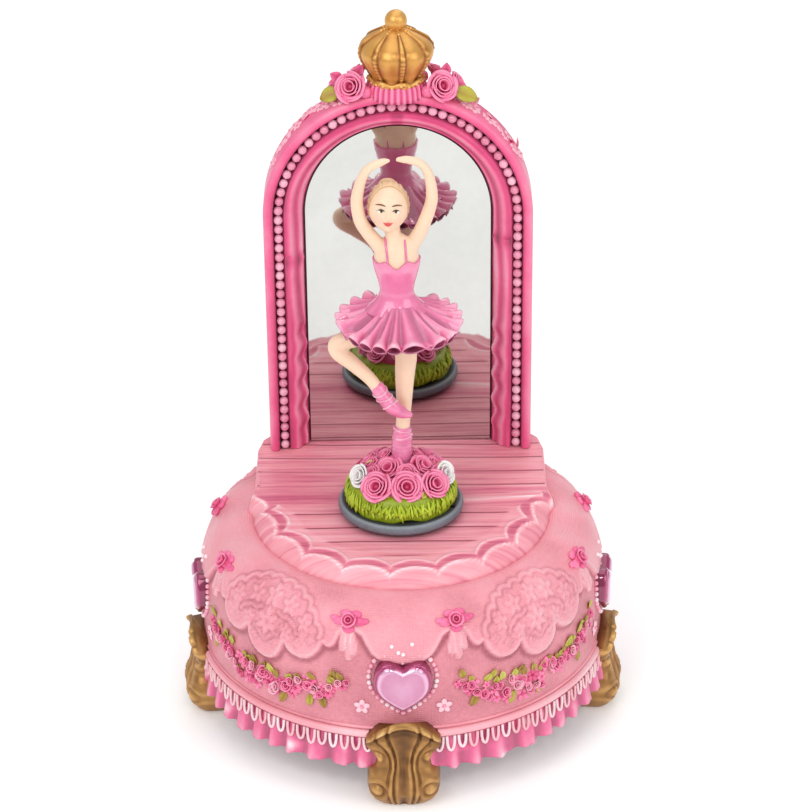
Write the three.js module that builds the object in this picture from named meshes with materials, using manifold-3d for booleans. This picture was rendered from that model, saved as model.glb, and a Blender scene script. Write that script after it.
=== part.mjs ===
// Wind-up music box: a round dome-shaped base on four cast feet carries a stage, an arched
// mirror with a crown, and a ballerina on a turntable. A clockwork musical movement fills the
// base: a mainspring barrel turns the ballerina and a pinned cylinder, which plucks a steel comb
// and is held back by an air-brake governor. A key under the base winds the spring.
// Millimetres. +Z is up, -Y is the front, and the origin is on the table under the dome's centre.
import * as THREE from "three";
import { mergeVertices } from "three/addons/utils/BufferGeometryUtils.js";
import Module from "manifold-3d";

const wasm = await Module();
wasm.setup();

const TAU = Math.PI * 2;

// ---- Clearances -------------------------------------------------------------------------------
const GAP = 0.3; // between pieces that are glued, screwed or pressed together
const RUNNING = 0.15; // radial clearance of a shaft in its bearing
const OVERLAP = 0.5; // how far one shape sinks into another before the two are joined

// ---- Base -------------------------------------------------------------------------------------
const DOME_RADIUS = 59.3;
const WALL = 4.3;
const DECK_Z = 65; // the stage that the mirror and the turntable stand on
const SHOULDER = 16; // how far the foot of the stage's draped edge stands in from the wall
const DRAPE = 5.3; // how much narrower the stage is than the foot of its draped edge
const DRAPE_DROP = 4.2;
const HEM_Z = 22;
const HEM_FLARE = 1.3; // how far the hem and the ruffle stand out beyond the wall
const RUFFLE_FLARE = 1.9;
const RUFFLE_BOTTOM_Z = 12;
const CEILING = 5; // thickness of the stage above the movement
const PLATFORM_MARGIN = 3.5; // how far the stage's back part reaches beyond the mirror frame
const PLATFORM_INSET = 2.3;

const PLATE_Z = 16; // underside of the bottom plate
const PLATE_THICKNESS = 2;
const BOSS_RADIUS = 4.2;
const BOSS_INSET = 3.8; // from the wall's inner face to a boss's centre
const BASE_SCREWS = { count: 4, shank: 1.3, head: 2.8, headHeight: 1.6, length: 10.5 };

const FOOT_ANGLES = { front: 270, right: 353, back: 90, left: 187 }; // degrees from +X
const FOOT_REACH = 6.7; // how far a foot stands out beyond the wall
const FOOT_TUCK = 5.3; // how far it reaches in under the wall
const FOOT_HEIGHT = 29.5;
const FOOT_WIDTH = 19;

const HEART_WIDTH = 16;
const HEART_DEPTH = 4;
const HEART_Z = 39;
const HEART_SEAT = 0.9; // how deep a gem sits in the dome

// ---- Mirror -----------------------------------------------------------------------------------
const FRAME_HALF_WIDTH = 39.5;
const FRAME_FRONT_Y = 29;
const FRAME_DEPTH = 11;
const FRAME_LEG = 77; // from the stage up to the centre of the frame's half-round top
const FRAME_RIM = 11.1; // width of the frame's moulding
const MIRROR_MARGIN = 1.2; // between the mirror's edge and the moulding
const MIRROR_RECESS = 6;
const MIRROR_THICKNESS = 2;

// ---- Crown and roses --------------------------------------------------------------------------
const CROWN_RISE = 1.5; // how far the collar that carries the crown stands above the frame
const CROWN_RADIUS = 10.6;
const CROWN_RING_RADIUS = 7.8;
const CROWN_COLLAR_RADIUS = 8.6;
const CROWN_BALL_RADIUS = 3.1;
const CROWN_HEIGHT = 22;

// ---- Turntable and ballerina ------------------------------------------------------------------
const TURNTABLE_Y = -6; // the turntable's axis is in front of the dome's
const TURNTABLE_RADIUS = 18.3;
const TURNTABLE_LIFT = 1.2; // above the stage
const TURNTABLE_THICKNESS = 3.2;
const MOUND_RADIUS = 16.2;
const GRASS_HEIGHT = 6.2;
const FLOWERS_HEIGHT = 8;
const SHOE_RADIUS = 3.3;
const WAIST_RADIUS = 4.4;
const TUTU_RADIUS = 18.3;
const TUTU_RISE = 55.5; // from the dancer's toe up to the top of the skirt, at the waist
const TUTU_DROP = 7.4;
const TUTU_THICKNESS = 1.6;
const SPINDLE_RADIUS = 2.2;
const BUSH_RADIUS = 3.6;
const BUSH_FLANGE_RADIUS = 5.5;
const BUSH_FLANGE = 1.4;

// ---- Musical movement -------------------------------------------------------------------------
const BED_THICKNESS = 2.1;
const BED_BACK = -17;
const BED_MARGIN = 1.3; // beyond the governor's bracket and the comb
const BED_SIDE = 6.85; // beyond the worm's axis
const SPACER = { radius: 3.4, height: 2.3 };
const MOVEMENT_SCREWS = { inset: 5, shank: 1.1, head: 2.3, headHeight: 1.4 };

const CROWN_WHEEL = { teeth: 48, radius: 14, face: 2, addendum: 0.6, dedendum: 0.8 };
const PINION = { teeth: 12, face: 2.2 };
const CYLINDER_GEAR = { teeth: 32, radius: 7, face: 1.4 };
const GOVERNOR_PINION = { teeth: 8, face: 1.6 };
const WORM_WHEEL = { teeth: 24, radius: 4.8, face: 1.1 };
const SMALL_TEETH = { addendum: 0.45, dedendum: 0.6 };
const WHEEL_CLEARANCE = 0.55; // between the cylinder's wheel and the bedplate
const WORM_RADIUS = 1.6;
const THREAD_RADIUS = 0.27;
const WORM_CORE_RADIUS = 1.45;
const PIVOT_RADIUS = 0.6;

const BARREL = { wall: 1, floor: 1.6, height: 12.6, clearance: 1.1 }; // clearance to the pinion's end
const MAINSPRING = { turns: 4, strip: 0.45, outside: 0.15, inside: 0.7 };
const ARBOR_RADIUS = 1.9;
const ARBOR_HUB_RADIUS = 2.9;
const CLUTCH = { coils: 2, wire: 0.3 };
const KEY = { span: 12, bottom: 3.5, wingHeight: 9, hubHeight: 11, hub: 3.2, thickness: 1.8 };

const CYLINDER = { length: 18.6, radius: 6.5, wall: 0.8, pin: 0.5 };
const SHAFT_RADIUS = 1.2;
const COMB = { teeth: 18, pitch: 1, slot: 0.35, length: 14, root: 5.5, thickness: 0.8, clearance: 0.2 };
const BRACKET_THICKNESS = 1.4;
const FAN = { span: 7.2, height: 5.5, blade: 0.4, hub: 1.5 };

// ---- Worked-out sizes -------------------------------------------------------------------------
const INNER_RADIUS = DOME_RADIUS - WALL;
const LEDGE_RADIUS = DOME_RADIUS - SHOULDER;
const LEDGE_Z = DECK_Z - DRAPE_DROP;
const DECK_RADIUS = LEDGE_RADIUS - DRAPE;
const HEM_RADIUS = DOME_RADIUS + HEM_FLARE;
const RUFFLE_RADIUS = DOME_RADIUS + RUFFLE_FLARE;
const PLATFORM_RADIUS = DOME_RADIUS - PLATFORM_INSET;
const PLATFORM_HALF_WIDTH = FRAME_HALF_WIDTH + PLATFORM_MARGIN;
const PLATFORM_BACK_Y = FRAME_FRONT_Y + FRAME_DEPTH + PLATFORM_MARGIN;
const FOOT_RADIUS = DOME_RADIUS + FOOT_REACH;
const FOOT_INNER_RADIUS = DOME_RADIUS - FOOT_TUCK;
const HEART_FLOOR = DOME_RADIUS - HEART_SEAT;
const PLATE_RADIUS = INNER_RADIUS - 3 * GAP;
const PLATE_TOP = PLATE_Z + PLATE_THICKNESS;
const SCREW_CIRCLE = INNER_RADIUS - BOSS_INSET;

const ARCH_Z = DECK_Z + FRAME_LEG;
const NICHE_HALF_WIDTH = FRAME_HALF_WIDTH - FRAME_RIM;
const MIRROR_HALF_WIDTH = NICHE_HALF_WIDTH - MIRROR_MARGIN;
const MIRROR_FRONT_Y = FRAME_FRONT_Y + MIRROR_RECESS;
const CROWN_Y = FRAME_FRONT_Y + FRAME_DEPTH / 2;
const CROWN_Z = ARCH_Z + FRAME_HALF_WIDTH + CROWN_RISE;
const OVERALL_HEIGHT = CROWN_Z + CROWN_HEIGHT;

const TURNTABLE_Z = DECK_Z + TURNTABLE_LIFT;
const TURNTABLE_TOP = TURNTABLE_Z + TURNTABLE_THICKNESS;
const GRASS_TOP = TURNTABLE_TOP + GAP + GRASS_HEIGHT;
const FLOWERS_LOW = GRASS_TOP + GAP;
const FLOWERS_TOP = FLOWERS_LOW + FLOWERS_HEIGHT;
const TOE_SOCKET = FLOWERS_LOW + 2;
const TOE_Z = TOE_SOCKET + GAP;
const TUTU_Z = TOE_Z + TUTU_RISE;
const SKIRT_BORE = WAIST_RADIUS - 1.4;

const BED_Z = PLATE_TOP + SPACER.height;
const BED_TOP = BED_Z + BED_THICKNESS;
const SHAFT_Z = BED_TOP + CYLINDER_GEAR.radius + SMALL_TEETH.addendum + WHEEL_CLEARANCE;
const PINION_RADIUS = (CROWN_WHEEL.radius * PINION.teeth) / CROWN_WHEEL.teeth;
const CROWN_PITCH_Z = SHAFT_Z - PINION_RADIUS;
const CROWN_OUTER = CROWN_WHEEL.radius + CROWN_WHEEL.face / 2;
const FLANGE_TOP = CROWN_PITCH_Z - CROWN_WHEEL.dedendum;
const CAP_Z = FLANGE_TOP + BARREL.height - BARREL.floor;
const BARREL_RADIUS = CROWN_WHEEL.radius - PINION.face / 2 - BARREL.clearance;
const GOVERNOR_PINION_RADIUS = (CYLINDER_GEAR.radius * GOVERNOR_PINION.teeth) / CYLINDER_GEAR.teeth;
const GOVERNOR_V = -(CYLINDER_GEAR.radius + GOVERNOR_PINION_RADIUS);
const WORM_V = GOVERNOR_V - WORM_WHEEL.radius - WORM_RADIUS;
const WORM_LEAD = (TAU * WORM_WHEEL.radius) / WORM_WHEEL.teeth;
const INNER_BRACKET_U = CROWN_OUTER + 1.2;
const CYLINDER_START = INNER_BRACKET_U + BRACKET_THICKNESS + 0.8;
const CYLINDER_END = CYLINDER_START + CYLINDER.length;
const CYLINDER_MIDDLE = (CYLINDER_START + CYLINDER_END) / 2;
const GEAR_U = CYLINDER_END + 2 * GAP;
const OUTER_BRACKET_U = GEAR_U + CYLINDER_GEAR.face + 1;
const WORM_WHEEL_U = OUTER_BRACKET_U + BRACKET_THICKNESS + 1;
const WORM_U = WORM_WHEEL_U + WORM_WHEEL.face / 2;
const CHEEK_U = WORM_U + FAN.span / 2 + 0.8;
const COMB_TIP_V = CYLINDER.radius + CYLINDER.pin + COMB.clearance; // just clear of the pins
const BED_FRONT = CHEEK_U + BRACKET_THICKNESS + BED_MARGIN;
const BED_LEFT = WORM_V - BED_SIDE;
const BED_RIGHT = COMB_TIP_V + COMB.length + BED_MARGIN;
const MOVEMENT_SCREW_PLACES = [
  [BED_BACK + MOVEMENT_SCREWS.inset, BED_RIGHT - MOVEMENT_SCREWS.inset],
  [BED_BACK + MOVEMENT_SCREWS.inset, BED_LEFT + MOVEMENT_SCREWS.inset],
  [BED_FRONT - MOVEMENT_SCREWS.inset, BED_RIGHT - MOVEMENT_SCREWS.inset],
];

// ---- Materials --------------------------------------------------------------------------------
const paint = (color, roughness = 0.6, metalness = 0) =>
  new THREE.MeshStandardMaterial({ color, roughness, metalness });
const MATERIAL = {
  pinkResin: paint(0xe58fa6, 0.55),
  roseResin: paint(0xe0609a, 0.5),
  goldPaint: paint(0xb98a45, 0.4, 0.6),
  gem: paint(0xc58fc4, 0.08),
  mirror: paint(0xe6e8e8, 0.02, 1),
  skin: paint(0xf0cfae, 0.5),
  dress: paint(0xe878aa, 0.35),
  grass: paint(0x9fb92e, 0.6),
  turntable: paint(0x4c4f52, 0.6),
  blackPlastic: paint(0x2a2a2c, 0.5),
  zinc: paint(0xa9acb0, 0.45, 0.8),
  steel: paint(0xb9bdc2, 0.3, 0.9),
  brass: paint(0xc9a24e, 0.3, 0.9),
};

// ---- Shape helpers ----------------------------------------------------------------------------
const part = new THREE.Group();

function add(name, geometry, material, parent = part) {
  const mesh = new THREE.Mesh(geometry, material);
  mesh.name = name;
  parent.add(mesh);
  return mesh;
}

// A closed geometry as a manifold-3d solid, for joining and cutting.
function toSolid(geometry) {
  const bare = geometry.index ? geometry.toNonIndexed() : geometry.clone();
  bare.deleteAttribute("normal");
  bare.deleteAttribute("uv");
  const merged = mergeVertices(bare, 1e-3);
  return new wasm.Manifold(
    new wasm.Mesh({
      numProp: 3,
      vertProperties: merged.attributes.position.array,
      triVerts: new Uint32Array(merged.index.array),
    }),
  );
}

function toGeometry(solid) {
  const mesh = solid.getMesh();
  const geometry = new THREE.BufferGeometry();
  geometry.setAttribute("position", new THREE.BufferAttribute(mesh.vertProperties, 3));
  geometry.setIndex(new THREE.BufferAttribute(mesh.triVerts, 1));
  return geometry;
}

const join = (geometries) => geometries.map(toSolid).reduce((all, next) => all.add(next));
const cut = (solid, geometries) => geometries.map(toSolid).reduce((rest, tool) => rest.subtract(tool), solid);

// A turned shape about Z from [radius, z] points that start and end on the axis.
function turned(profile, sides = 32) {
  const points = profile.map(([r, z]) => new THREE.Vector2(r, z));
  if (THREE.ShapeUtils.area(points) < 0) points.reverse();
  return new THREE.LatheGeometry(points, sides).rotateX(Math.PI / 2);
}

// A turned ring about Z from the [radius, z] corners of its section.
function ring(section, sides = 32) {
  const points = section.map(([r, z]) => new THREE.Vector2(r, z));
  if (THREE.ShapeUtils.area(points) < 0) points.reverse();
  points.push(points[0].clone());
  return new THREE.LatheGeometry(points, sides).rotateX(Math.PI / 2);
}

const rod = (radius, low, high, sides = 24) => turned([[0, low], [radius, low], [radius, high], [0, high]], sides);
const washer = (bore, radius, low, high, sides = 32) =>
  ring([[bore, low], [radius, low], [radius, high], [bore, high]], sides);

const block = (x, y, z) =>
  new THREE.BoxGeometry(x[1] - x[0], y[1] - y[0], z[1] - z[0]).translate(
    (x[0] + x[1]) / 2,
    (y[0] + y[1]) / 2,
    (z[0] + z[1]) / 2,
  );

const prism = (shape, low, height, curveSegments = 12) =>
  new THREE.ExtrudeGeometry(shape, { depth: height, bevelEnabled: false, curveSegments }).translate(0, 0, low);

// Turns a shape built along Z so that its Z lies along X.
const alongX = (geometry) => geometry.rotateY(Math.PI / 2);

const radians = THREE.MathUtils.degToRad;

// A body of revolution's profile between points, with quarter-smooth curves through them.
function smooth(points, steps) {
  const curve = new THREE.SplineCurve(points.map(([r, z]) => new THREE.Vector2(r, z)));
  return curve.getPoints(steps).map((p) => [p.x, p.y]);
}

// A round-ended tube of changing radius through nodes [x, y, z, radius].
function limb(nodes, sides = 10) {
  const centres = nodes.map(([x, y, z]) => new THREE.Vector3(x, y, z));
  const direction = (i, j) => centres[j].clone().sub(centres[i]).normalize();
  const last = nodes.length - 1;
  const rings = centres.map((centre, i) => {
    const before = i > 0 ? direction(i - 1, i) : direction(0, 1);
    const after = i < last ? direction(i, i + 1) : before;
    return { centre, axis: before.clone().add(after).normalize(), radius: nodes[i][3] };
  });
  const cap = (end, way) =>
    [0.7, 0.97].map((reach) => ({
      centre: end.centre.clone().addScaledVector(end.axis, way * reach * end.radius),
      axis: end.axis,
      radius: end.radius * Math.sqrt(1 - reach * reach),
    }));
  const all = [...cap(rings[0], -1).reverse(), ...rings, ...cap(rings[last], 1)];
  const positions = [];
  let sideways = new THREE.Vector3(0.3, 1, 0.2);
  for (const { centre, axis, radius } of all) {
    sideways = sideways.clone().addScaledVector(axis, -sideways.dot(axis)).normalize();
    const other = axis.clone().cross(sideways);
    for (let k = 0; k < sides; k++) {
      const angle = (TAU * k) / sides;
      const p = centre.clone().addScaledVector(sideways, radius * Math.cos(angle));
      positions.push(...p.addScaledVector(other, radius * Math.sin(angle)).toArray());
    }
  }
  const index = [];
  const end = (all.length - 1) * sides;
  for (let k = 0; k < sides; k++) {
    const next = (k + 1) % sides;
    for (let row = 0; row < end; row += sides)
      index.push(row + k, row + next, row + sides + next, row + k, row + sides + next, row + sides + k);
    if (k > 0 && k < sides - 1) index.push(0, next, k, end, end + k, end + next);
  }
  const geometry = new THREE.BufferGeometry();
  geometry.setAttribute("position", new THREE.BufferAttribute(new Float32Array(positions), 3));
  geometry.setIndex(index);
  return toSolid(geometry);
}

// A gear's outline, with straight-flanked teeth and the first tooth at angle `phase`.
function gearShape({ teeth, radius, addendum, dedendum, phase = 0, bore = 0, share = 0.4 }) {
  const half = (share * Math.PI) / teeth;
  const outline = [];
  for (let i = 0; i < teeth; i++) {
    const middle = phase + (TAU * i) / teeth;
    for (const [r, side] of [
      [radius - dedendum, -1.3],
      [radius + addendum, -0.55],
      [radius + addendum, 0.55],
      [radius - dedendum, 1.3],
    ])
      outline.push(
        new THREE.Vector2(r * Math.cos(middle + side * half), r * Math.sin(middle + side * half)),
      );
  }
  const shape = new THREE.Shape(outline);
  if (bore) shape.holes.push(new THREE.Path().absarc(0, 0, bore, 0, TAU, true));
  return shape;
}

// A pan-head screw pointing up +Z from its head's underside at z = 0.
const screw = ({ shank, head, headHeight, length }) =>
  turned([[0, -headHeight], [head * 0.7, -headHeight], [head, -headHeight * 0.4], [head, 0], [shank, 0],
    [shank, length - shank], [0, length]], 14);

// ---- Base -------------------------------------------------------------------------------------
const atAngle = (geometry, degrees) => geometry.rotateZ(radians(degrees));

// A foot's side outline, as [radius, z], grown outwards by `grow` to make the pocket it sits in.
function footGeometry(grow) {
  const top = FOOT_HEIGHT + grow;
  const back = DOME_RADIUS + 0.4 - grow;
  const side = new THREE.Shape();
  side.moveTo(FOOT_INNER_RADIUS - grow, -grow);
  side.lineTo(FOOT_RADIUS - 3, -grow);
  side.quadraticCurveTo(FOOT_RADIUS + grow, 2, FOOT_RADIUS + grow, 8);
  side.bezierCurveTo(FOOT_RADIUS + grow, 14, HEM_RADIUS + 1.5 + grow, 18, HEM_RADIUS + 1.2 + grow, top);
  side.lineTo(back, top);
  side.lineTo(back, RUFFLE_BOTTOM_Z - GAP + grow);
  side.lineTo(FOOT_INNER_RADIUS - grow, RUFFLE_BOTTOM_Z - 4);
  const width = FOOT_WIDTH + 2 * grow;
  return prism(side, -width / 2, width, 5).rotateX(Math.PI / 2);
}

// The heart gem's outline, point down, centred on its box.
function heartShape(grow) {
  const w = HEART_WIDTH / 2 + grow;
  const h = HEART_WIDTH / 2 + grow;
  const heart = new THREE.Shape();
  heart.moveTo(0, -h);
  heart.bezierCurveTo(-w * 0.5, -h * 0.62, -w, -h * 0.1, -w, h * 0.4);
  heart.bezierCurveTo(-w, h * 1.08, -w * 0.25, h * 1.15, 0, h * 0.62);
  heart.bezierCurveTo(w * 0.25, h * 1.15, w, h * 1.08, w, h * 0.4);
  heart.bezierCurveTo(w, -h * 0.1, w * 0.5, -h * 0.62, 0, -h);
  return heart;
}

// A heart prism facing +X, from radius `low` outwards.
const heartAt = (grow, low, depth) =>
  prism(heartShape(grow), 0, depth, 5)
    .rotateX(Math.PI / 2)
    .rotateZ(Math.PI / 2)
    .translate(low, 0, HEART_Z);

function heartGem() {
  const girdle = HEART_DEPTH * 0.55;
  const crown = prism(heartShape(0), girdle, HEART_DEPTH - girdle, 5);
  const place = crown.attributes.position;
  for (let i = 0; i < place.count; i++) {
    if (place.getZ(i) < HEART_DEPTH - OVERLAP) continue;
    place.setX(i, place.getX(i) * 0.76);
    place.setY(i, place.getY(i) * 0.76);
  }
  return toGeometry(join([prism(heartShape(0), 0, girdle, 5), crown]))
    .rotateX(Math.PI / 2)
    .rotateZ(Math.PI / 2)
    .translate(HEART_FLOOR + GAP, 0, HEART_Z);
}

// The back of the stage, widened to carry the mirror frame and trimmed to the dome's own wall.
function platform() {
  const corner = 12;
  const w = PLATFORM_HALF_WIDTH;
  const shape = new THREE.Shape();
  shape.moveTo(-w, 2);
  shape.lineTo(-w, PLATFORM_BACK_Y - corner);
  shape.quadraticCurveTo(-w, PLATFORM_BACK_Y, -w + corner, PLATFORM_BACK_Y);
  shape.lineTo(w - corner, PLATFORM_BACK_Y);
  shape.quadraticCurveTo(w, PLATFORM_BACK_Y, w, PLATFORM_BACK_Y - corner);
  shape.lineTo(w, 2);
  shape.lineTo(DECK_RADIUS - 10, -12);
  shape.lineTo(10 - DECK_RADIUS, -12);
  const low = LEDGE_Z - 12.8;
  const slab = toSolid(prism(shape, low, DECK_Z - low, 5));
  return slab.intersect(toSolid(rod(PLATFORM_RADIUS, low - 1, DECK_Z + 1, 72)));
}

const screwAngles = Array.from({ length: BASE_SCREWS.count }, (_, i) => 45 + (360 / BASE_SCREWS.count) * i);

function baseShell() {
  const outside = turned([
    [0, RUFFLE_BOTTOM_Z],
    [RUFFLE_RADIUS, RUFFLE_BOTTOM_Z],
    [RUFFLE_RADIUS - 1.2, HEM_Z - 1.5],
    [HEM_RADIUS, HEM_Z],
    [DOME_RADIUS + 0.3, HEM_Z + 1.5],
    ...smooth(
      [[DOME_RADIUS, LEDGE_Z - 24.8], [DOME_RADIUS - 0.5, LEDGE_Z - 15.8], [DOME_RADIUS - 2.2, LEDGE_Z - 9.2],
        [DOME_RADIUS - 5.1, LEDGE_Z - 4.4], [DOME_RADIUS - 9.3, LEDGE_Z - 1.7], [LEDGE_RADIUS, LEDGE_Z]],
      9,
    ),
    [LEDGE_RADIUS - 0.8, LEDGE_Z + 1.3],
    [DECK_RADIUS + 2.5, DECK_Z - 1],
    [DECK_RADIUS, DECK_Z],
    [0, DECK_Z],
  ], 64);
  const hollow = turned([
    [0, RUFFLE_BOTTOM_Z - 1],
    [INNER_RADIUS, RUFFLE_BOTTOM_Z - 1],
    [INNER_RADIUS, LEDGE_Z - 17.8],
    [INNER_RADIUS - 5, LEDGE_Z - 10.2],
    [LEDGE_RADIUS, LEDGE_Z - WALL],
    [DECK_RADIUS - WALL, DECK_Z - CEILING],
    [0, DECK_Z - CEILING],
  ], 64);
  const shell = cut(toSolid(outside).add(platform()), [hollow]);
  const bosses = screwAngles.map((angle) =>
    atAngle(rod(BOSS_RADIUS, PLATE_TOP + GAP, PLATE_Z + BASE_SCREWS.length + WALL, 20).translate(SCREW_CIRCLE, 0, 0), angle),
  );
  const pilots = screwAngles.map((angle) =>
    atAngle(
      rod(BASE_SCREWS.shank + GAP, PLATE_Z, PLATE_Z + BASE_SCREWS.length + 1, 14).translate(SCREW_CIRCLE, 0, 0),
      angle,
    ),
  );
  const pockets = Object.values(FOOT_ANGLES).flatMap((angle) => [
    atAngle(footGeometry(GAP), angle),
    atAngle(heartAt(GAP, HEART_FLOOR, 10), angle),
  ]);
  const hole = rod(BUSH_RADIUS + GAP, DECK_Z - CEILING - 3, DECK_Z + 1).translate(0, TURNTABLE_Y, 0);
  const joined = bosses.map(toSolid).reduce((all, boss) => all.add(boss), shell);
  return toGeometry(cut(joined, [...pilots, ...pockets, hole]));
}

function buildBase() {
  add("base_shell", baseShell(), MATERIAL.pinkResin);
  for (const [side, angle] of Object.entries(FOOT_ANGLES)) {
    add(`foot_${side}`, atAngle(footGeometry(0), angle), MATERIAL.goldPaint);
    add(`heart_gem_${side}`, atAngle(heartGem(), angle), MATERIAL.gem);
  }
  const plate = toSolid(rod(PLATE_RADIUS, PLATE_Z, PLATE_TOP, 48));
  const holes = [
    rod(ARBOR_RADIUS + 3, PLATE_Z - 1, PLATE_TOP + 1).translate(0, TURNTABLE_Y, 0),
    ...screwAngles.map((angle) =>
      atAngle(rod(BASE_SCREWS.shank + GAP, PLATE_Z - 1, PLATE_TOP + 1, 14).translate(SCREW_CIRCLE, 0, 0), angle),
    ),
    ...MOVEMENT_SCREW_PLACES.map(([u, v]) =>
      rod(MOVEMENT_SCREWS.shank + GAP, PLATE_Z - 1, PLATE_TOP + 1, 14).translate(-v, TURNTABLE_Y + u, 0),
    ),
  ];
  add("bottom_plate", toGeometry(cut(plate, holes)), MATERIAL.blackPlastic);
  screwAngles.forEach((angle, i) => {
    const place = screw(BASE_SCREWS).translate(SCREW_CIRCLE, 0, PLATE_Z - GAP);
    add(`base_screw_${i + 1}`, atAngle(place, angle), MATERIAL.steel);
  });
  const bush = ring([
    [SPINDLE_RADIUS + RUNNING, DECK_Z - CEILING - GAP - BUSH_FLANGE],
    [BUSH_FLANGE_RADIUS, DECK_Z - CEILING - GAP - BUSH_FLANGE],
    [BUSH_FLANGE_RADIUS, DECK_Z - CEILING - GAP],
    [BUSH_RADIUS, DECK_Z - CEILING - GAP],
    [BUSH_RADIUS, DECK_Z],
    [SPINDLE_RADIUS + RUNNING, DECK_Z],
  ]);
  add("spindle_bush", bush.translate(0, TURNTABLE_Y, 0), MATERIAL.brass);
}

// ---- Mirror, crown and roses ------------------------------------------------------------------
// An upright arch outline in x and z, from `low` up to a half-round top centred on ARCH_Z.
function archShape(halfWidth, low) {
  const shape = new THREE.Shape();
  shape.moveTo(-halfWidth, low);
  shape.lineTo(halfWidth, low);
  shape.lineTo(halfWidth, ARCH_Z);
  shape.absarc(0, ARCH_Z, halfWidth, 0, Math.PI, false);
  return shape;
}

// The arch between two depths, standing up: its front face looks along -Y.
const arch = (halfWidth, low, front, depth, segments = 28) =>
  prism(archShape(halfWidth, low), 0, depth, segments)
    .rotateX(Math.PI / 2)
    .translate(0, front + depth, 0);

function rosePetals(side) {
  const roses = [
    { x: 1.6, y: -1.5, z: 0.2, r: 5 },
    { x: 6, y: 2.5, z: -2.4, r: 3.6 },
    { x: -2, y: -3.9, z: -1.4, r: 2.2 },
  ];
  const place = (geometry, x, y, z) => geometry.translate(side * (CROWN_RADIUS + x), CROWN_Y + y, CROWN_Z + z);
  const heads = roses.map(({ x, y, z, r }) =>
    place(new THREE.SphereGeometry(r, 12, 8).rotateX(Math.PI / 2), x, y, z),
  );
  const leaf = new THREE.SphereGeometry(1, 10, 6).scale(4.2, 2.6, 1.1).rotateY(side * radians(35));
  const cluster = join([...heads, place(leaf, 9, -0.5, -3.8)]);
  const archTop = rod(FRAME_HALF_WIDTH + GAP, -60, 60, 56).rotateX(Math.PI / 2).translate(0, CROWN_Y, ARCH_Z);
  const collar = rod(CROWN_RADIUS + GAP, CROWN_Z - 8, OVERALL_HEIGHT, 32).translate(0, CROWN_Y, 0);
  return toGeometry(cut(cluster, [archTop, collar]));
}

function buildMirror() {
  const low = DECK_Z + GAP;
  const mirrorBack = MIRROR_FRONT_Y + MIRROR_THICKNESS;
  const slab = toSolid(arch(FRAME_HALF_WIDTH, low, FRAME_FRONT_Y, FRAME_DEPTH));
  const collar = toSolid(rod(CROWN_COLLAR_RADIUS, CROWN_Z - 6, CROWN_Z).translate(0, CROWN_Y, 0));
  const niche = arch(NICHE_HALF_WIDTH, low - 1, FRAME_FRONT_Y - 1, mirrorBack + GAP - FRAME_FRONT_Y + 1);
  add("mirror_frame", toGeometry(cut(slab.add(collar), [niche])), MATERIAL.roseResin);
  const glass = arch(MIRROR_HALF_WIDTH, low + GAP, MIRROR_FRONT_Y, MIRROR_THICKNESS);
  add("mirror_glass", glass, MATERIAL.mirror);

  const ballZ = OVERALL_HEIGHT - CROWN_BALL_RADIUS;
  const crown = turned([
    [0, CROWN_Z + GAP],
    [CROWN_RING_RADIUS, CROWN_Z + GAP],
    [CROWN_RING_RADIUS + 0.4, CROWN_Z + 1.4],
    [CROWN_RING_RADIUS - 0.4, CROWN_Z + 3],
    ...smooth([[CROWN_RING_RADIUS - 0.2, CROWN_Z + 3.6], [CROWN_RADIUS, CROWN_Z + 10.5], [7.4, CROWN_Z + 14.8],
      [2.4, ballZ - 2.6]], 8),
    ...Array.from({ length: 6 }, (_, i) => {
      const angle = -0.9 + (i / 5) * (Math.PI / 2 + 0.9);
      return [i === 5 ? 0 : CROWN_BALL_RADIUS * Math.cos(angle), ballZ + CROWN_BALL_RADIUS * Math.sin(angle)];
    }),
  ], 24);
  add("crown_finial", crown.translate(0, CROWN_Y, 0), MATERIAL.goldPaint);
  add("rose_spray_left", rosePetals(-1), MATERIAL.roseResin);
  add("rose_spray_right", rosePetals(1), MATERIAL.roseResin);
}

// ---- Turntable and ballerina: built about the turntable's own axis ----------------------------
const turntable = new THREE.Group();
turntable.position.y = TURNTABLE_Y;
part.add(turntable);

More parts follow.
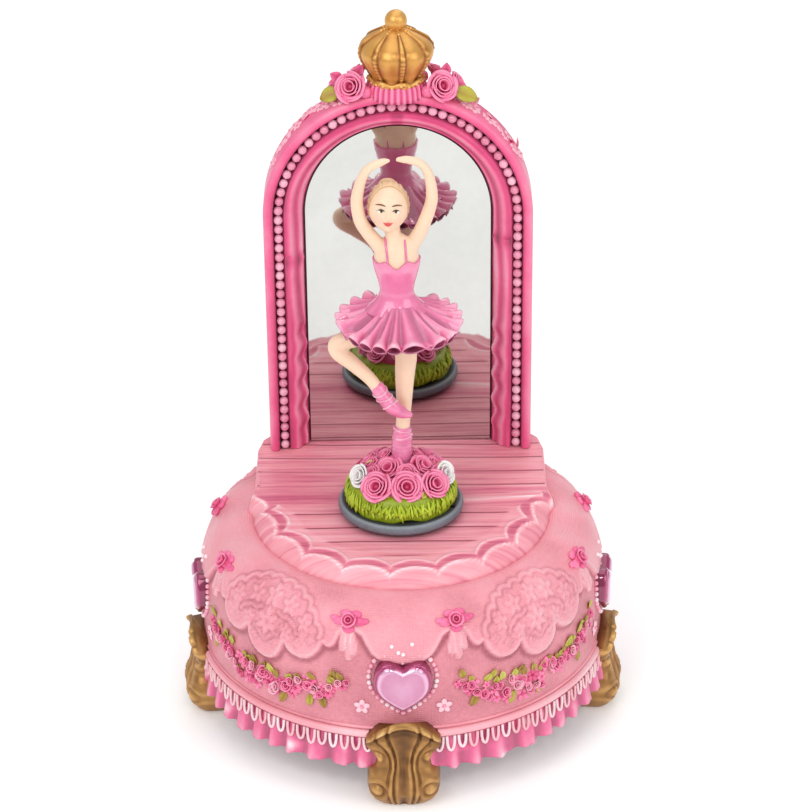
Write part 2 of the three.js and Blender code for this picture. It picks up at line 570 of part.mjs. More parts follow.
function buildTurntable() {
  const hubHole = rod(SPINDLE_RADIUS + GAP, TURNTABLE_Z - 1, TURNTABLE_TOP - 1);
  const disc = toSolid(
    turned([[0, TURNTABLE_Z], [TURNTABLE_RADIUS - 0.6, TURNTABLE_Z], [TURNTABLE_RADIUS, TURNTABLE_Z + 0.6],
      [TURNTABLE_RADIUS, TURNTABLE_TOP - 0.4], [TURNTABLE_RADIUS - 0.4, TURNTABLE_TOP], [0, TURNTABLE_TOP]], 40),
  );
  const notch = block([12.6, 16.8], [-0.9, 0.9], [TURNTABLE_TOP - 1.2, TURNTABLE_TOP + 1]).rotateZ(radians(-22));
  add("turntable_disc", toGeometry(cut(disc, [hubHole, notch])), MATERIAL.turntable, turntable);

  const grassLow = TURNTABLE_TOP + GAP;
  const grass = turned([[0, grassLow], [MOUND_RADIUS - 1.4, grassLow], [MOUND_RADIUS, grassLow + 2],
    [MOUND_RADIUS - 0.3, GRASS_TOP - 1.4], [MOUND_RADIUS - 2, GRASS_TOP], [0, GRASS_TOP]], 32);
  add("grass_mound", grass, MATERIAL.grass, turntable);

  const flowers = toSolid(
    turned([[0, FLOWERS_LOW], [MOUND_RADIUS - 2.2, FLOWERS_LOW], [MOUND_RADIUS - 1.4, FLOWERS_LOW + 2],
      ...smooth([[MOUND_RADIUS - 2, FLOWERS_LOW + 3.4], [10, FLOWERS_LOW + 6.4], [5, FLOWERS_TOP]], 4),
      [0, FLOWERS_TOP]], 24),
  );
  const socket = rod(SHOE_RADIUS + GAP, TOE_SOCKET, FLOWERS_TOP + 1, 20).translate(0.4, 0, 0);
  add("rose_bouquet", toGeometry(cut(flowers, [socket])), MATERIAL.roseResin, turntable);
}

// Sizes here are from the tip of the dancer's standing toe up.
function buildBallerina() {
  const standing = limb([
    [0.4, 0, SHOE_RADIUS, SHOE_RADIUS],
    [0.5, 0, 12, 2.5],
    [0.9, 0, 16, 2.1],
    [1.4, 0, 28.5, 2.7],
    [1.9, 0, 37.5, 3.3],
    [1.2, 0, 47.5, 3.8],
  ]);
  const raised = limb([
    [-1.6, -0.4, 46.1, 3.2],
    [-18, -2, 42.7, 2.4],
    [-13.8, -3.4, 37.2, 2.2],
    [-8.4, -4.6, 32.3, 1.9],
    [-3, -5.4, 24.5, 1.8],
    [2, -5, 21.1, 1.2],
  ]);
  const torso = toSolid(
    turned([[0, 45.5], [4.2, 46.5], [WAIST_RADIUS, 52.5], [WAIST_RADIUS - 0.1, 58], [5.2, 62.5], [6.4, 67.5],
      [5.7, 71.5], [3.6, 74.1], [2.2, 75.1], [0, 75.5]], 14)
      .scale(1, 0.72, 1)
      .translate(-0.5, 0, 0),
  );
  const neck = limb([[-1, 0, 72, 2.3], [-2, 0, 78.5, 2.2]]);
  const head = toSolid(
    new THREE.SphereGeometry(1, 14, 9).rotateX(Math.PI / 2).scale(5.8, 6.1, 7.4).translate(-2.4, 0, 84.3),
  );
  const bun = toSolid(new THREE.SphereGeometry(2.6, 10, 6).translate(-2.6, 6.2, 88.5));
  const leftArm = limb([[-5.9, 0, 72.5, 2], [-10.4, -0.6, 79.4, 1.9], [-11.3, -1, 86.4, 1.9],
    [-9.2, -1.6, 94.9, 1.5], [-5.4, -2, 97.8, 1.3], [-2.5, -2, 98.7, 0.9]]);
  const rightArm = limb([[4.3, 0, 73.1, 2], [7.5, -0.6, 79.9, 1.9], [9.5, -1, 86.2, 1.9],
    [9.1, -1.4, 91.5, 1.6], [7.6, -1.8, 96.5, 1.4], [4.4, -2, 98.6, 1.2], [0.2, -2, 99.1, 0.9]]);
  const body = [raised, torso, neck, head, bun, leftArm, rightArm].reduce((all, next) => all.add(next), standing);
  const groove = ring([
    [SKIRT_BORE - GAP, TUTU_Z - 2.6 - GAP],
    [8, TUTU_Z - 4.6 - GAP],
    [8, TUTU_Z - 1.4],
    [SKIRT_BORE - GAP, TUTU_Z + GAP],
  ], 24);
  add("ballerina", toGeometry(cut(body.translate(0, 0, TOE_Z), [groove])), MATERIAL.skin, turntable);
  add("tutu", skirt(), MATERIAL.dress, turntable);
}

// The skirt: a shallow cone of cloth round the waist, with its edge lifted into folds.
function skirt() {
  const folds = 11;
  const rim = TUTU_Z - TUTU_DROP;
  const geometry = ring([
    [SKIRT_BORE, TUTU_Z - 2.6],
    [9, TUTU_Z - 5],
    [TUTU_RADIUS, rim - TUTU_THICKNESS],
    [TUTU_RADIUS, rim],
    [12, TUTU_Z - 3.8],
    [7, TUTU_Z - 2],
    [SKIRT_BORE, TUTU_Z],
  ], folds * 4);
  const place = geometry.attributes.position;
  for (let i = 0; i < place.count; i++) {
    const x = place.getX(i);
    const y = place.getY(i);
    const out = Math.max(0, Math.hypot(x, y) - 8) / (TUTU_RADIUS - 8);
    place.setZ(i, place.getZ(i) + 0.7 * out * Math.cos(folds * Math.atan2(y, x)));
  }
  return geometry;
}

// ---- Musical movement: u runs back from the spring barrel's axis, v runs to the left ----------
const movement = new THREE.Group();
movement.position.y = TURNTABLE_Y;
movement.rotation.z = Math.PI / 2;
part.add(movement);

// A bearing plate across u with shaft holes at the given [v, z, radius] places.
function bearingPlate(u, vRange, top, holes) {
  const plate = toSolid(block([u, u + BRACKET_THICKNESS], vRange, [BED_TOP + GAP, top]));
  const foot = toSolid(block([u, u + BRACKET_THICKNESS + 0.01], vRange, [BED_TOP + GAP, BED_TOP + GAP + 1]));
  const bores = holes.map(([v, z, r]) =>
    alongX(rod(r + RUNNING, -1, BRACKET_THICKNESS + 1, 20)).translate(u, v, z),
  );
  return toGeometry(cut(plate.add(foot), bores));
}

function buildBedplate() {
  const spacers = MOVEMENT_SCREW_PLACES.map(([u, v]) =>
    rod(SPACER.radius, PLATE_TOP + GAP, BED_Z + OVERLAP).translate(u, v, 0),
  );
  const combPad = block(
    [CYLINDER_START - 1, CYLINDER_END + 1],
    [COMB_TIP_V + COMB.length - COMB.root, COMB_TIP_V + COMB.length],
    [BED_TOP - OVERLAP, SHAFT_Z - COMB.thickness / 2 - GAP],
  );
  const wormSeat = rod(2, BED_TOP - OVERLAP, BED_TOP + 0.6, 16).translate(WORM_U, WORM_V, 0);
  const bed = join([
    block([BED_BACK, BED_FRONT], [BED_LEFT, BED_RIGHT], [BED_Z, BED_TOP]),
    ...spacers,
    combPad,
    wormSeat,
  ]);
  const holes = [
    rod(ARBOR_RADIUS + RUNNING, BED_Z - 1, BED_TOP + 1),
    rod(PIVOT_RADIUS + RUNNING, BED_TOP - 1, BED_TOP + 2, 14).translate(WORM_U, WORM_V, 0),
    ...MOVEMENT_SCREW_PLACES.map(([u, v]) => rod(MOVEMENT_SCREWS.shank + GAP, PLATE_TOP, BED_TOP + 1, 14).translate(u, v, 0)),
    ...combScrewPlaces.map(([u, v]) => rod(COMB_SCREW.shank + GAP, BED_TOP, SHAFT_Z, 12).translate(u, v, 0)),
  ];
  add("movement_bedplate", toGeometry(cut(bed, holes)), MATERIAL.zinc, movement);
  MOVEMENT_SCREW_PLACES.forEach(([u, v], i) => {
    const geometry = screw({ ...MOVEMENT_SCREWS, length: BED_TOP - PLATE_Z });
    add(`movement_screw_${i + 1}`, geometry.translate(u, v, PLATE_Z - GAP), MATERIAL.steel, movement);
  });
}

const COMB_SCREW = { shank: 0.9, head: 1.9, headHeight: 1.2 };
const combScrewPlaces = [-1, 1].map((side) => [CYLINDER_MIDDLE + side * 5, COMB_TIP_V + COMB.length - COMB.root / 2]);

function buildComb() {
  const width = COMB.teeth * COMB.pitch;
  const start = CYLINDER_MIDDLE - width / 2;
  const rootV = COMB_TIP_V + COMB.length - COMB.root;
  const outline = new THREE.Shape();
  outline.moveTo(start, COMB_TIP_V + COMB.length);
  outline.lineTo(start, COMB_TIP_V);
  for (let i = 1; i < COMB.teeth; i++) {
    const slot = start + i * COMB.pitch - COMB.slot / 2;
    outline.lineTo(slot, COMB_TIP_V);
    outline.lineTo(slot, rootV - (COMB.teeth - i) * 0.2);
    outline.lineTo(slot + COMB.slot, rootV - (COMB.teeth - i) * 0.2);
    outline.lineTo(slot + COMB.slot, COMB_TIP_V);
  }
  outline.lineTo(start + width, COMB_TIP_V);
  outline.lineTo(start + width, COMB_TIP_V + COMB.length);
  const low = SHAFT_Z - COMB.thickness / 2;
  const holes = combScrewPlaces.map(([u, v]) => rod(COMB_SCREW.shank + GAP, low - 1, low + 2, 12).translate(u, v, 0));
  const comb = cut(toSolid(prism(outline, low, COMB.thickness)), holes);
  add("music_comb", toGeometry(comb), MATERIAL.steel, movement);
  combScrewPlaces.forEach(([u, v], i) => {
    const geometry = screw({ ...COMB_SCREW, length: 4.5 }).rotateX(Math.PI);
    add(`comb_screw_${i + 1}`, geometry.translate(u, v, low + COMB.thickness + GAP), MATERIAL.steel, movement);
  });
}

function buildBarrel() {
  const flangeLow = FLANGE_TOP - BARREL.floor;
  const cup = ring([
    [ARBOR_HUB_RADIUS + GAP, flangeLow],
    [CROWN_OUTER, flangeLow],
    [CROWN_OUTER, FLANGE_TOP],
    [BARREL_RADIUS, FLANGE_TOP],
    [BARREL_RADIUS, CAP_Z],
    [BARREL_RADIUS - BARREL.wall, CAP_Z],
    [BARREL_RADIUS - BARREL.wall, FLANGE_TOP],
    [ARBOR_HUB_RADIUS + GAP, FLANGE_TOP],
  ], 40);
  const pitch = (TAU * CROWN_WHEEL.radius) / CROWN_WHEEL.teeth;
  const half = 0.2 * pitch;
  const rise = CROWN_WHEEL.dedendum + CROWN_WHEEL.addendum;
  const tooth = new THREE.Shape([
    new THREE.Vector2(-half * 1.3, -OVERLAP),
    new THREE.Vector2(half * 1.3, -OVERLAP),
    new THREE.Vector2(half * 0.55, rise),
    new THREE.Vector2(-half * 0.55, rise),
  ]);
  const teeth = Array.from({ length: CROWN_WHEEL.teeth }, (_, i) =>
    prism(tooth, 0, CROWN_WHEEL.face)
      .rotateX(Math.PI / 2)
      .rotateZ(Math.PI / 2)
      .translate(CROWN_WHEEL.radius - CROWN_WHEEL.face / 2, 0, FLANGE_TOP)
      .rotateZ((TAU * i) / CROWN_WHEEL.teeth),
  );
  add("spring_barrel", toGeometry(join([cup, ...teeth])), MATERIAL.brass, movement);

  const turns = MAINSPRING.turns;
  const steps = turns * 16;
  const inside = ARBOR_HUB_RADIUS + MAINSPRING.inside;
  const outside = BARREL_RADIUS - BARREL.wall - MAINSPRING.outside - MAINSPRING.strip;
  const spiral = (offset) =>
    Array.from({ length: steps + 1 }, (_, i) => {
      const r = inside + ((outside - inside) * i) / steps + offset;
      const angle = (TAU * turns * i) / steps;
      return new THREE.Vector2(r * Math.cos(angle), r * Math.sin(angle));
    });
  const strip = new THREE.Shape([...spiral(0), ...spiral(MAINSPRING.strip).reverse()]);
  add("mainspring", prism(strip, FLANGE_TOP + 0.8, CAP_Z - FLANGE_TOP - 1.6), MATERIAL.steel, movement);

  const cap = turned([
    [0, CAP_Z + GAP],
    [BARREL_RADIUS, CAP_Z + GAP],
    [BARREL_RADIUS, CAP_Z + GAP + 1.4],
    [SPINDLE_RADIUS + 2, CAP_Z + GAP + 1.4],
    [SPINDLE_RADIUS + 1.6, CAP_Z + 4],
    [SPINDLE_RADIUS, CAP_Z + 4.6],
    [SPINDLE_RADIUS, TURNTABLE_TOP - 1 - GAP],
    [0, TURNTABLE_TOP - 1 - GAP],
  ], 32);
  add("output_spindle", cap, MATERIAL.steel, movement);
}

function buildWinding() {
  const keyTop = KEY.bottom + KEY.hubHeight;
  const arbor = turned([
    [0, KEY.bottom + 3 + GAP],
    [ARBOR_RADIUS, KEY.bottom + 3 + GAP],
    [ARBOR_RADIUS, BED_TOP + 2.2],
    [ARBOR_HUB_RADIUS, FLANGE_TOP - 0.6],
    [ARBOR_HUB_RADIUS, CAP_Z - 0.6],
    [0, CAP_Z - 0.6],
  ], 24);
  add("winding_arbor", arbor, MATERIAL.steel, movement);

  const wing = new THREE.Shape();
  wing.moveTo(-2, 0);
  wing.lineTo(-2, KEY.wingHeight * 0.55);
  wing.lineTo(-5, KEY.wingHeight);
  wing.lineTo(-KEY.span + 3, KEY.wingHeight);
  wing.quadraticCurveTo(-KEY.span, KEY.wingHeight, -KEY.span, KEY.wingHeight / 2);
  wing.quadraticCurveTo(-KEY.span, 0, -KEY.span + 3, 0);
  const place = (geometry) => geometry.rotateX(Math.PI / 2).translate(0, KEY.thickness / 2, KEY.bottom);
  const wings = place(prism(wing, 0, KEY.thickness, 5));
  const otherWing = wings.clone().rotateZ(Math.PI);
  const hub = rod(KEY.hub, KEY.bottom, keyTop, 20);
  const bore = rod(ARBOR_RADIUS + GAP, KEY.bottom + 3, keyTop + 1);
  add("winding_key", toGeometry(cut(join([hub, wings, otherWing]), [bore])), MATERIAL.brass, movement);

  const coil = new (class extends THREE.Curve {
    getPoint(t, target = new THREE.Vector3()) {
      const angle = TAU * CLUTCH.coils * t;
      const r = ARBOR_RADIUS + GAP + CLUTCH.wire;
      const rise = 2.4 * CLUTCH.wire * CLUTCH.coils * t;
      return target.set(r * Math.cos(angle), r * Math.sin(angle), BED_TOP + GAP + CLUTCH.wire + rise);
    }
  })();
  const wire = new THREE.Shape().absarc(0, 0, CLUTCH.wire, 0, TAU, false);
  const clutch = new THREE.ExtrudeGeometry(wire, {
    steps: 14 * CLUTCH.coils,
    extrudePath: coil,
    curveSegments: 3,
    bevelEnabled: false,
  });
  add("clutch_spring", clutch, MATERIAL.steel, movement);
}

function buildCylinder() {
  const pinionU = CROWN_WHEEL.radius - PINION.face / 2;
  const shaft = (geometry) => alongX(geometry).translate(0, 0, SHAFT_Z);

  const tube = toSolid(
    ring([
      [SHAFT_RADIUS + GAP, 0],
      [CYLINDER.radius, 0],
      [CYLINDER.radius, CYLINDER.length],
      [SHAFT_RADIUS + GAP, CYLINDER.length],
      [SHAFT_RADIUS + GAP, CYLINDER.length - 1],
      [CYLINDER.radius - CYLINDER.wall, CYLINDER.length - 1],
      [CYLINDER.radius - CYLINDER.wall, 1],
      [SHAFT_RADIUS + GAP, 1],
    ], 30),
  );
  // Three pins for each comb tooth, stepped round the cylinder in a plain repeating pattern.
  const pins = [];
  for (let note = 0; note < COMB.teeth; note++) {
    for (let beat = 0; beat < 3; beat++) {
      const angle = (TAU * ((note * 7 + beat * 11) % 36)) / 36 + 0.08;
      const along = (CYLINDER.length - COMB.teeth * COMB.pitch) / 2 + COMB.pitch * (note + 0.5);
      pins.push(
        block([CYLINDER.radius - OVERLAP, CYLINDER.radius + CYLINDER.pin], [-0.17, 0.17], [-0.17, 0.17])
          .translate(0, 0, along)
          .rotateZ(angle),
      );
    }
  }
  // The tube's hollow opens through two small holes in its end wall.
  const vents = [0, Math.PI].map((a) => rod(0.8, -1, 2, 10).translate(3.6 * Math.cos(a), 3.6 * Math.sin(a), 0));
  const drum = cut(pins.map(toSolid).reduce((all, pin) => all.add(pin), tube), vents);
  add("music_cylinder", shaft(toGeometry(drum).translate(0, 0, CYLINDER_START)), MATERIAL.brass, movement);

  const arborEnd = OUTER_BRACKET_U + BRACKET_THICKNESS;
  add("cylinder_arbor", shaft(rod(SHAFT_RADIUS, pinionU - 0.3, arborEnd, 20)), MATERIAL.steel, movement);

  // The pinion has a gap, not a tooth, facing down into the crown wheel.
  const pinion = gearShape({
    ...PINION,
    radius: PINION_RADIUS,
    addendum: CROWN_WHEEL.addendum,
    dedendum: CROWN_WHEEL.dedendum,
    phase: Math.PI / PINION.teeth,
    bore: SHAFT_RADIUS + GAP,
  });
  const pinionMesh = alongX(prism(pinion, 0, PINION.face, 5)).translate(pinionU, 0, SHAFT_Z);
  add("cylinder_pinion", pinionMesh, MATERIAL.steel, movement);

  // This wheel has a tooth on its line to the governor's pinion.
  const gear = gearShape({ ...CYLINDER_GEAR, ...SMALL_TEETH, phase: Math.PI / 2, bore: SHAFT_RADIUS + GAP });
  const gearMesh = alongX(prism(gear, 0, CYLINDER_GEAR.face, 5)).translate(GEAR_U, 0, SHAFT_Z);
  add("cylinder_gear", gearMesh, MATERIAL.brass, movement);

  const inner = bearingPlate(INNER_BRACKET_U, [-4, 4], SHAFT_Z + 3, [[0, SHAFT_Z, SHAFT_RADIUS]]);
  add("cylinder_bracket_inner", inner, MATERIAL.zinc, movement);
  const outer = bearingPlate(OUTER_BRACKET_U, [GOVERNOR_V - 2, 4], SHAFT_Z + 3, [
    [0, SHAFT_Z, SHAFT_RADIUS],
    [GOVERNOR_V, SHAFT_Z, PIVOT_RADIUS + 0.2],
  ]);
  add("cylinder_bracket_outer", outer, MATERIAL.zinc, movement);
}

function buildGovernor() {
  const arborRadius = PIVOT_RADIUS + 0.2;
  // The small pinion is cut on its arbor, with a gap facing the cylinder's wheel.
  const pinion = gearShape({
    ...GOVERNOR_PINION,
    ...SMALL_TEETH,
    radius: GOVERNOR_PINION_RADIUS,
    phase: Math.PI / 2 + Math.PI / GOVERNOR_PINION.teeth,
    share: 0.36,
  });
  const pinionMesh = alongX(prism(pinion, 0, GOVERNOR_PINION.face)).translate(GEAR_U - 0.1, GOVERNOR_V, SHAFT_Z);
  const arbor = alongX(rod(arborRadius, GEAR_U - 0.6, CHEEK_U + BRACKET_THICKNESS, 16)).translate(0, GOVERNOR_V, SHAFT_Z);
  add("governor_pinion", toGeometry(join([arbor, pinionMesh])), MATERIAL.steel, movement);

  const wheel = gearShape({
    ...WORM_WHEEL,
    addendum: 0.1,
    dedendum: 0.7,
    phase: Math.PI / 2,
    bore: arborRadius + GAP,
    share: 0.3,
  });
  const wheelMesh = alongX(prism(wheel, 0, WORM_WHEEL.face, 5)).translate(WORM_WHEEL_U, GOVERNOR_V, SHAFT_Z);
  add("worm_wheel", wheelMesh, MATERIAL.brass, movement);

  // The worm's thread passes half a pitch above and below the wheel's tooth that points at it.
  const turns = 3;
  const wormHalf = (turns * WORM_LEAD) / 2 + 0.6;
  const thread = new (class extends THREE.Curve {
    getPoint(t, target = new THREE.Vector3()) {
      const swept = (t - 0.5) * turns * TAU;
      const angle = Math.PI / 2 + swept;
      const z = SHAFT_Z + WORM_LEAD / 2 + (WORM_LEAD * swept) / TAU;
      return target.set(WORM_RADIUS * Math.cos(angle), WORM_RADIUS * Math.sin(angle), z);
    }
  })();
  const section = new THREE.Shape().absarc(0, 0, THREAD_RADIUS, 0, TAU, false);
  const ridge = new THREE.ExtrudeGeometry(section, {
    steps: 16 * turns,
    extrudePath: thread,
    curveSegments: 3,
    bevelEnabled: false,
  });
  const wormLow = SHAFT_Z - wormHalf;
  const wormHigh = SHAFT_Z + wormHalf + WORM_LEAD / 2;
  const shaftTop = wormHigh + FAN.height + 2.9;
  const core = turned([
    [0, BED_TOP + GAP],
    [PIVOT_RADIUS, BED_TOP + GAP],
    [PIVOT_RADIUS, wormLow - 1],
    [WORM_CORE_RADIUS, wormLow],
    [WORM_CORE_RADIUS, wormHigh],
    [PIVOT_RADIUS, wormHigh + 0.5],
    [PIVOT_RADIUS, shaftTop],
    [0, shaftTop],
  ], 14);
  const worm = join([core, ridge]);
  add("governor_worm", toGeometry(worm).translate(WORM_U, WORM_V, 0), MATERIAL.steel, movement);

  const fanLow = wormHigh + 1.5;
  const fan = cut(
    join([
      rod(FAN.hub, fanLow, fanLow + FAN.height, 14),
      block([-FAN.span / 2, FAN.span / 2], [-FAN.blade / 2, FAN.blade / 2], [fanLow, fanLow + FAN.height]),
    ]),
    [rod(PIVOT_RADIUS + GAP, fanLow - 1, fanLow + FAN.height + 1, 12)],
  );
  add("air_brake_fan", toGeometry(fan).translate(WORM_U, WORM_V, 0), MATERIAL.brass, movement);

  // One bent bracket holds the governor arbor's end, and the worm's top pivot on an arm.
  const armLow = fanLow + FAN.height + GAP;
  const armV = [WORM_V - 2, GOVERNOR_V + 2];
  const cheek = block([CHEEK_U, CHEEK_U + BRACKET_THICKNESS], armV, [BED_TOP + GAP, armLow + 1.4]);
  const arm = block([WORM_U - 2, CHEEK_U + OVERLAP], [WORM_V - 2, WORM_V + 2], [armLow, armLow + 1.4]);
  const bracket = cut(join([cheek, arm]), [
    alongX(rod(arborRadius + RUNNING, -1, BRACKET_THICKNESS + 1, 16)).translate(CHEEK_U, GOVERNOR_V, SHAFT_Z),
    rod(PIVOT_RADIUS + RUNNING, armLow - 1, armLow + 3, 14).translate(WORM_U, WORM_V, 0),
  ]);
  add("governor_bracket", toGeometry(bracket), MATERIAL.zinc, movement);
}

buildBase();
buildMirror();
buildTurntable();
buildBallerina();
buildBedplate();
buildComb();
buildBarrel();
buildWinding();
buildCylinder();
buildGovernor();

export default part;
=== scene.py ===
import math
import random

import bmesh
import bpy
from mathutils import Matrix, Vector, noise


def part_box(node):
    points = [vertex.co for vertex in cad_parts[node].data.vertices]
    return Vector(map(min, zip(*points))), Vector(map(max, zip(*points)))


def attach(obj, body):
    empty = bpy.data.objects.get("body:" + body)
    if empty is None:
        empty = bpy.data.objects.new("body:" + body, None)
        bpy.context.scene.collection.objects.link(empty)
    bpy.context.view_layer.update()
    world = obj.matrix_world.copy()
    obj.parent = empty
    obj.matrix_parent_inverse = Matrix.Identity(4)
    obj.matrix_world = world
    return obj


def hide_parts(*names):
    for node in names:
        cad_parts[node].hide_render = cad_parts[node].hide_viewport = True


bl_info = {
    "name": "Ballerina Music Box",
    "version": (1, 0, 0),
    "blender": (4, 5, 0),
    "location": "View3D > Sidebar > Music Box",
    "description": "Models and paints a wind-up music box with a turning dancer in front of an arched mirror",
    "category": "Object",
}

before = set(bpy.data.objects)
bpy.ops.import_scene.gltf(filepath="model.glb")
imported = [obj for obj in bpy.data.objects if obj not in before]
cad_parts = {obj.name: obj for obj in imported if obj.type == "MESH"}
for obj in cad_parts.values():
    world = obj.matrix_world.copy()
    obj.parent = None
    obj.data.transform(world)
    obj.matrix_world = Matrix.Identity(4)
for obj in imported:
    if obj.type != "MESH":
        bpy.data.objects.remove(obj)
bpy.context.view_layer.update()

MM = 0.001
UP = Vector((0, 0, 1))
TURN = math.tau
DISC_Y = -6.0  # the turntable's axis stands a little in front of the middle
TOE_Z = 78.5  # where the dancer's toe meets the roses
QUARTERS = (0, 90, 180, 270)
FOOT_ANGLES = {"front": 0, "right": 83, "back": 180, "left": -83}  # measured from the front, to the right
HEARTS = FOOT_ANGLES  # a heart sits over each foot


def srgb(r, g, b):
    """A paint-chart colour, 0 to 255, as the linear colour that the shaders take."""
    def linear(c):
        c /= 255
        return c / 12.92 if c <= 0.04045 else ((c + 0.055) / 1.055) ** 2.4
    return (linear(r), linear(g), linear(b), 1.0)


def mix(a, b, t):
    return a + (b - a) * t


def clamp(x, low=0.0, high=1.0):
    return max(low, min(high, x))


def ease(x, low, high):
    """0 below low, 1 above high, and a soft step between them."""
    t = clamp((x - low) / (high - low))
    return t * t * (3 - 2 * t)


def table(points, x):
    """Reads a list of (x, y) pairs as a curve with straight pieces."""
    if x <= points[0][0]:
        return points[0][1]
    for (x0, y0), (x1, y1) in zip(points, points[1:]):
        if x <= x1:
            return mix(y0, y1, (x - x0) / (x1 - x0))
    return points[-1][1]


def around(angle, radius, z, centre_y=0.0):
    """A point at an angle in degrees, measured from the front towards the right."""
    a = math.radians(angle)
    return Vector((radius * math.sin(a), centre_y - radius * math.cos(a), z))


def spline(points, count):
    """Count points on a smooth curve through the given ones."""
    points = [Vector(p) for p in points]
    ends = [points[0] * 2 - points[1]] + points + [points[-1] * 2 - points[-2]]
    out = []
    for i in range(count):
        t = i / (count - 1) * (len(points) - 1)
        k = min(int(t), len(points) - 2)
        f = t - k
        a, b, c, d = ends[k:k + 4]
        out.append(0.5 * (2 * b + (c - a) * f + (2 * a - 5 * b + 4 * c - d) * f * f
            + (3 * b - a - 3 * c + d) * f ** 3))
    return out


# ---- Materials ----------------------------------------------------------------------------------

def material(name):
    made = bpy.data.materials.new(name)
    made.use_nodes = True
    return made, made.node_tree.nodes, made.node_tree.links, made.node_tree.nodes["Principled BSDF"]


def noise_node(nodes, links, scale, detail=4.0, stretch=None, rough=0.55):
    coords = nodes.new("ShaderNodeTexCoord")
    out = coords.outputs["Object"]
    if stretch:
        turn = nodes.new("ShaderNodeMapping")
        turn.inputs["Scale"].default_value = stretch
        links.new(out, turn.inputs["Vector"])
        out = turn.outputs["Vector"]
    made = nodes.new("ShaderNodeTexNoise")
    made.inputs["Scale"].default_value = scale
    made.inputs["Detail"].default_value = detail
    made.inputs["Roughness"].default_value = rough
    links.new(out, made.inputs["Vector"])
    return made.outputs["Fac"]


def sum_of(nodes, links, a, b, factor):
    """a + factor * (b - 0.5)"""
    part = nodes.new("ShaderNodeMath")
    part.operation = "MULTIPLY_ADD"
    links.new(b, part.inputs[0])
    part.inputs[1].default_value = factor
    part.inputs[2].default_value = -0.5 * factor
    total = nodes.new("ShaderNodeMath")
    links.new(a, total.inputs[0])
    links.new(part.outputs[0], total.inputs[1])
    return total.outputs[0]


def ramp(nodes, links, source, stops):
    made = nodes.new("ShaderNodeValToRGB")
    elements = made.color_ramp.elements
    while len(elements) < len(stops):
        elements.new(0.5)
    for element, (at, colour) in zip(elements, stops):
        element.position = at
        element.color = colour
    links.new(source, made.inputs["Fac"])
    return made.outputs["Color"]


def spread(nodes, links, source, low, high):
    made = nodes.new("ShaderNodeMapRange")
    made.inputs["To Min"].default_value = low
    made.inputs["To Max"].default_value = high
    links.new(source, made.inputs["Value"])
    return made.outputs["Result"]


def bump(nodes, links, shader, heights):
    """Stacks bump layers: (height socket, strength, distance in mm)."""
    last = None
    for height, strength, distance in heights:
        made = nodes.new("ShaderNodeBump")
        made.inputs["Strength"].default_value = strength
        made.inputs["Distance"].default_value = distance * MM
        links.new(height, made.inputs["Height"])
        if last:
            links.new(last, made.inputs["Normal"])
        last = made.outputs["Normal"]
    links.new(last, shader.inputs["Normal"])


WAVE = 0.314  # a wave texture of scale 1 repeats once in this many metres
THREAD_PITCH = {"X": 0.00095, "Y": 0.00065}  # metres from thread to thread, along and up the cloth
BOARD_WIDTH = 0.0082


def hand_painted(name, stops, roughness=(0.32, 0.5), coat=0.0, metallic=0.0, mottle=0.16, grain=900.0,
                 grain_depth=0.05, weave=0.0, sheen=0.0):
    """Paint over cast resin: the "shade" attribute runs from dark folds in painted shade to light ridges with
    pearly paint and painted highlight.
    """
    made, nodes, links, shader = material(name)
    shade = nodes.new("ShaderNodeAttribute")
    shade.attribute_name = "shade"
    broad = noise_node(nodes, links, 70.0, 5.0)
    fine = noise_node(nodes, links, grain, 3.0)
    value = sum_of(nodes, links, shade.outputs["Fac"], broad, mottle)
    value = sum_of(nodes, links, value, fine, mottle * 0.7)
    links.new(ramp(nodes, links, value, stops), shader.inputs["Base Color"])
    links.new(spread(nodes, links, broad, *roughness), shader.inputs["Roughness"])
    shader.inputs["Metallic"].default_value = metallic
    shader.inputs["Coat Weight"].default_value = coat
    shader.inputs["Coat Roughness"].default_value = 0.12
    shader.inputs["Sheen Weight"].default_value = sheen
    layers = [(broad, 0.25, 0.25), (fine, 0.5, grain_depth)]
    if weave:
        uv = nodes.new("ShaderNodeUVMap")
        uv.uv_map = "cloth"
        for direction in "XY":
            thread = nodes.new("ShaderNodeTexWave")
            thread.bands_direction = direction
            thread.inputs["Scale"].default_value = WAVE / THREAD_PITCH[direction]
            thread.inputs["Distortion"].default_value = 0.8
            thread.inputs["Detail"].default_value = 1.0
            links.new(uv.outputs["UV"], thread.inputs["Vector"])
            layers.append((thread.outputs["Fac"], weave if direction == "Y" else weave * 0.5, 0.1))
    bump(nodes, links, shader, layers)
    return made


def flat_painted(name, roughness=0.45, coat=0.15, subsurface=0.12):
    """Enamel whose colour is brushed on from the "paint" colour attribute."""
    made, nodes, links, shader = material(name)
    paint = nodes.new("ShaderNodeAttribute")
    paint.attribute_name = "paint"
    broad = noise_node(nodes, links, 160.0, 4.0)
    fine = noise_node(nodes, links, 1500.0, 2.0)
    vary = nodes.new("ShaderNodeHueSaturation")
    links.new(paint.outputs["Color"], vary.inputs["Color"])
    links.new(spread(nodes, links, broad, 0.9, 1.08), vary.inputs["Value"])
    links.new(spread(nodes, links, fine, 0.92, 1.08), vary.inputs["Saturation"])
    links.new(vary.outputs["Color"], shader.inputs["Base Color"])
    links.new(spread(nodes, links, broad, roughness - 0.08, roughness + 0.1), shader.inputs["Roughness"])
    shader.inputs["Coat Weight"].default_value = coat
    shader.inputs["Coat Roughness"].default_value = 0.25
    shader.inputs["Subsurface Weight"].default_value = subsurface
    shader.inputs["Subsurface Radius"].default_value = (0.0016, 0.0008, 0.0005)
    shader.inputs["Subsurface Scale"].default_value = 1.0
    bump(nodes, links, shader, [(broad, 0.2, 0.12), (fine, 0.3, 0.02)])
    return made


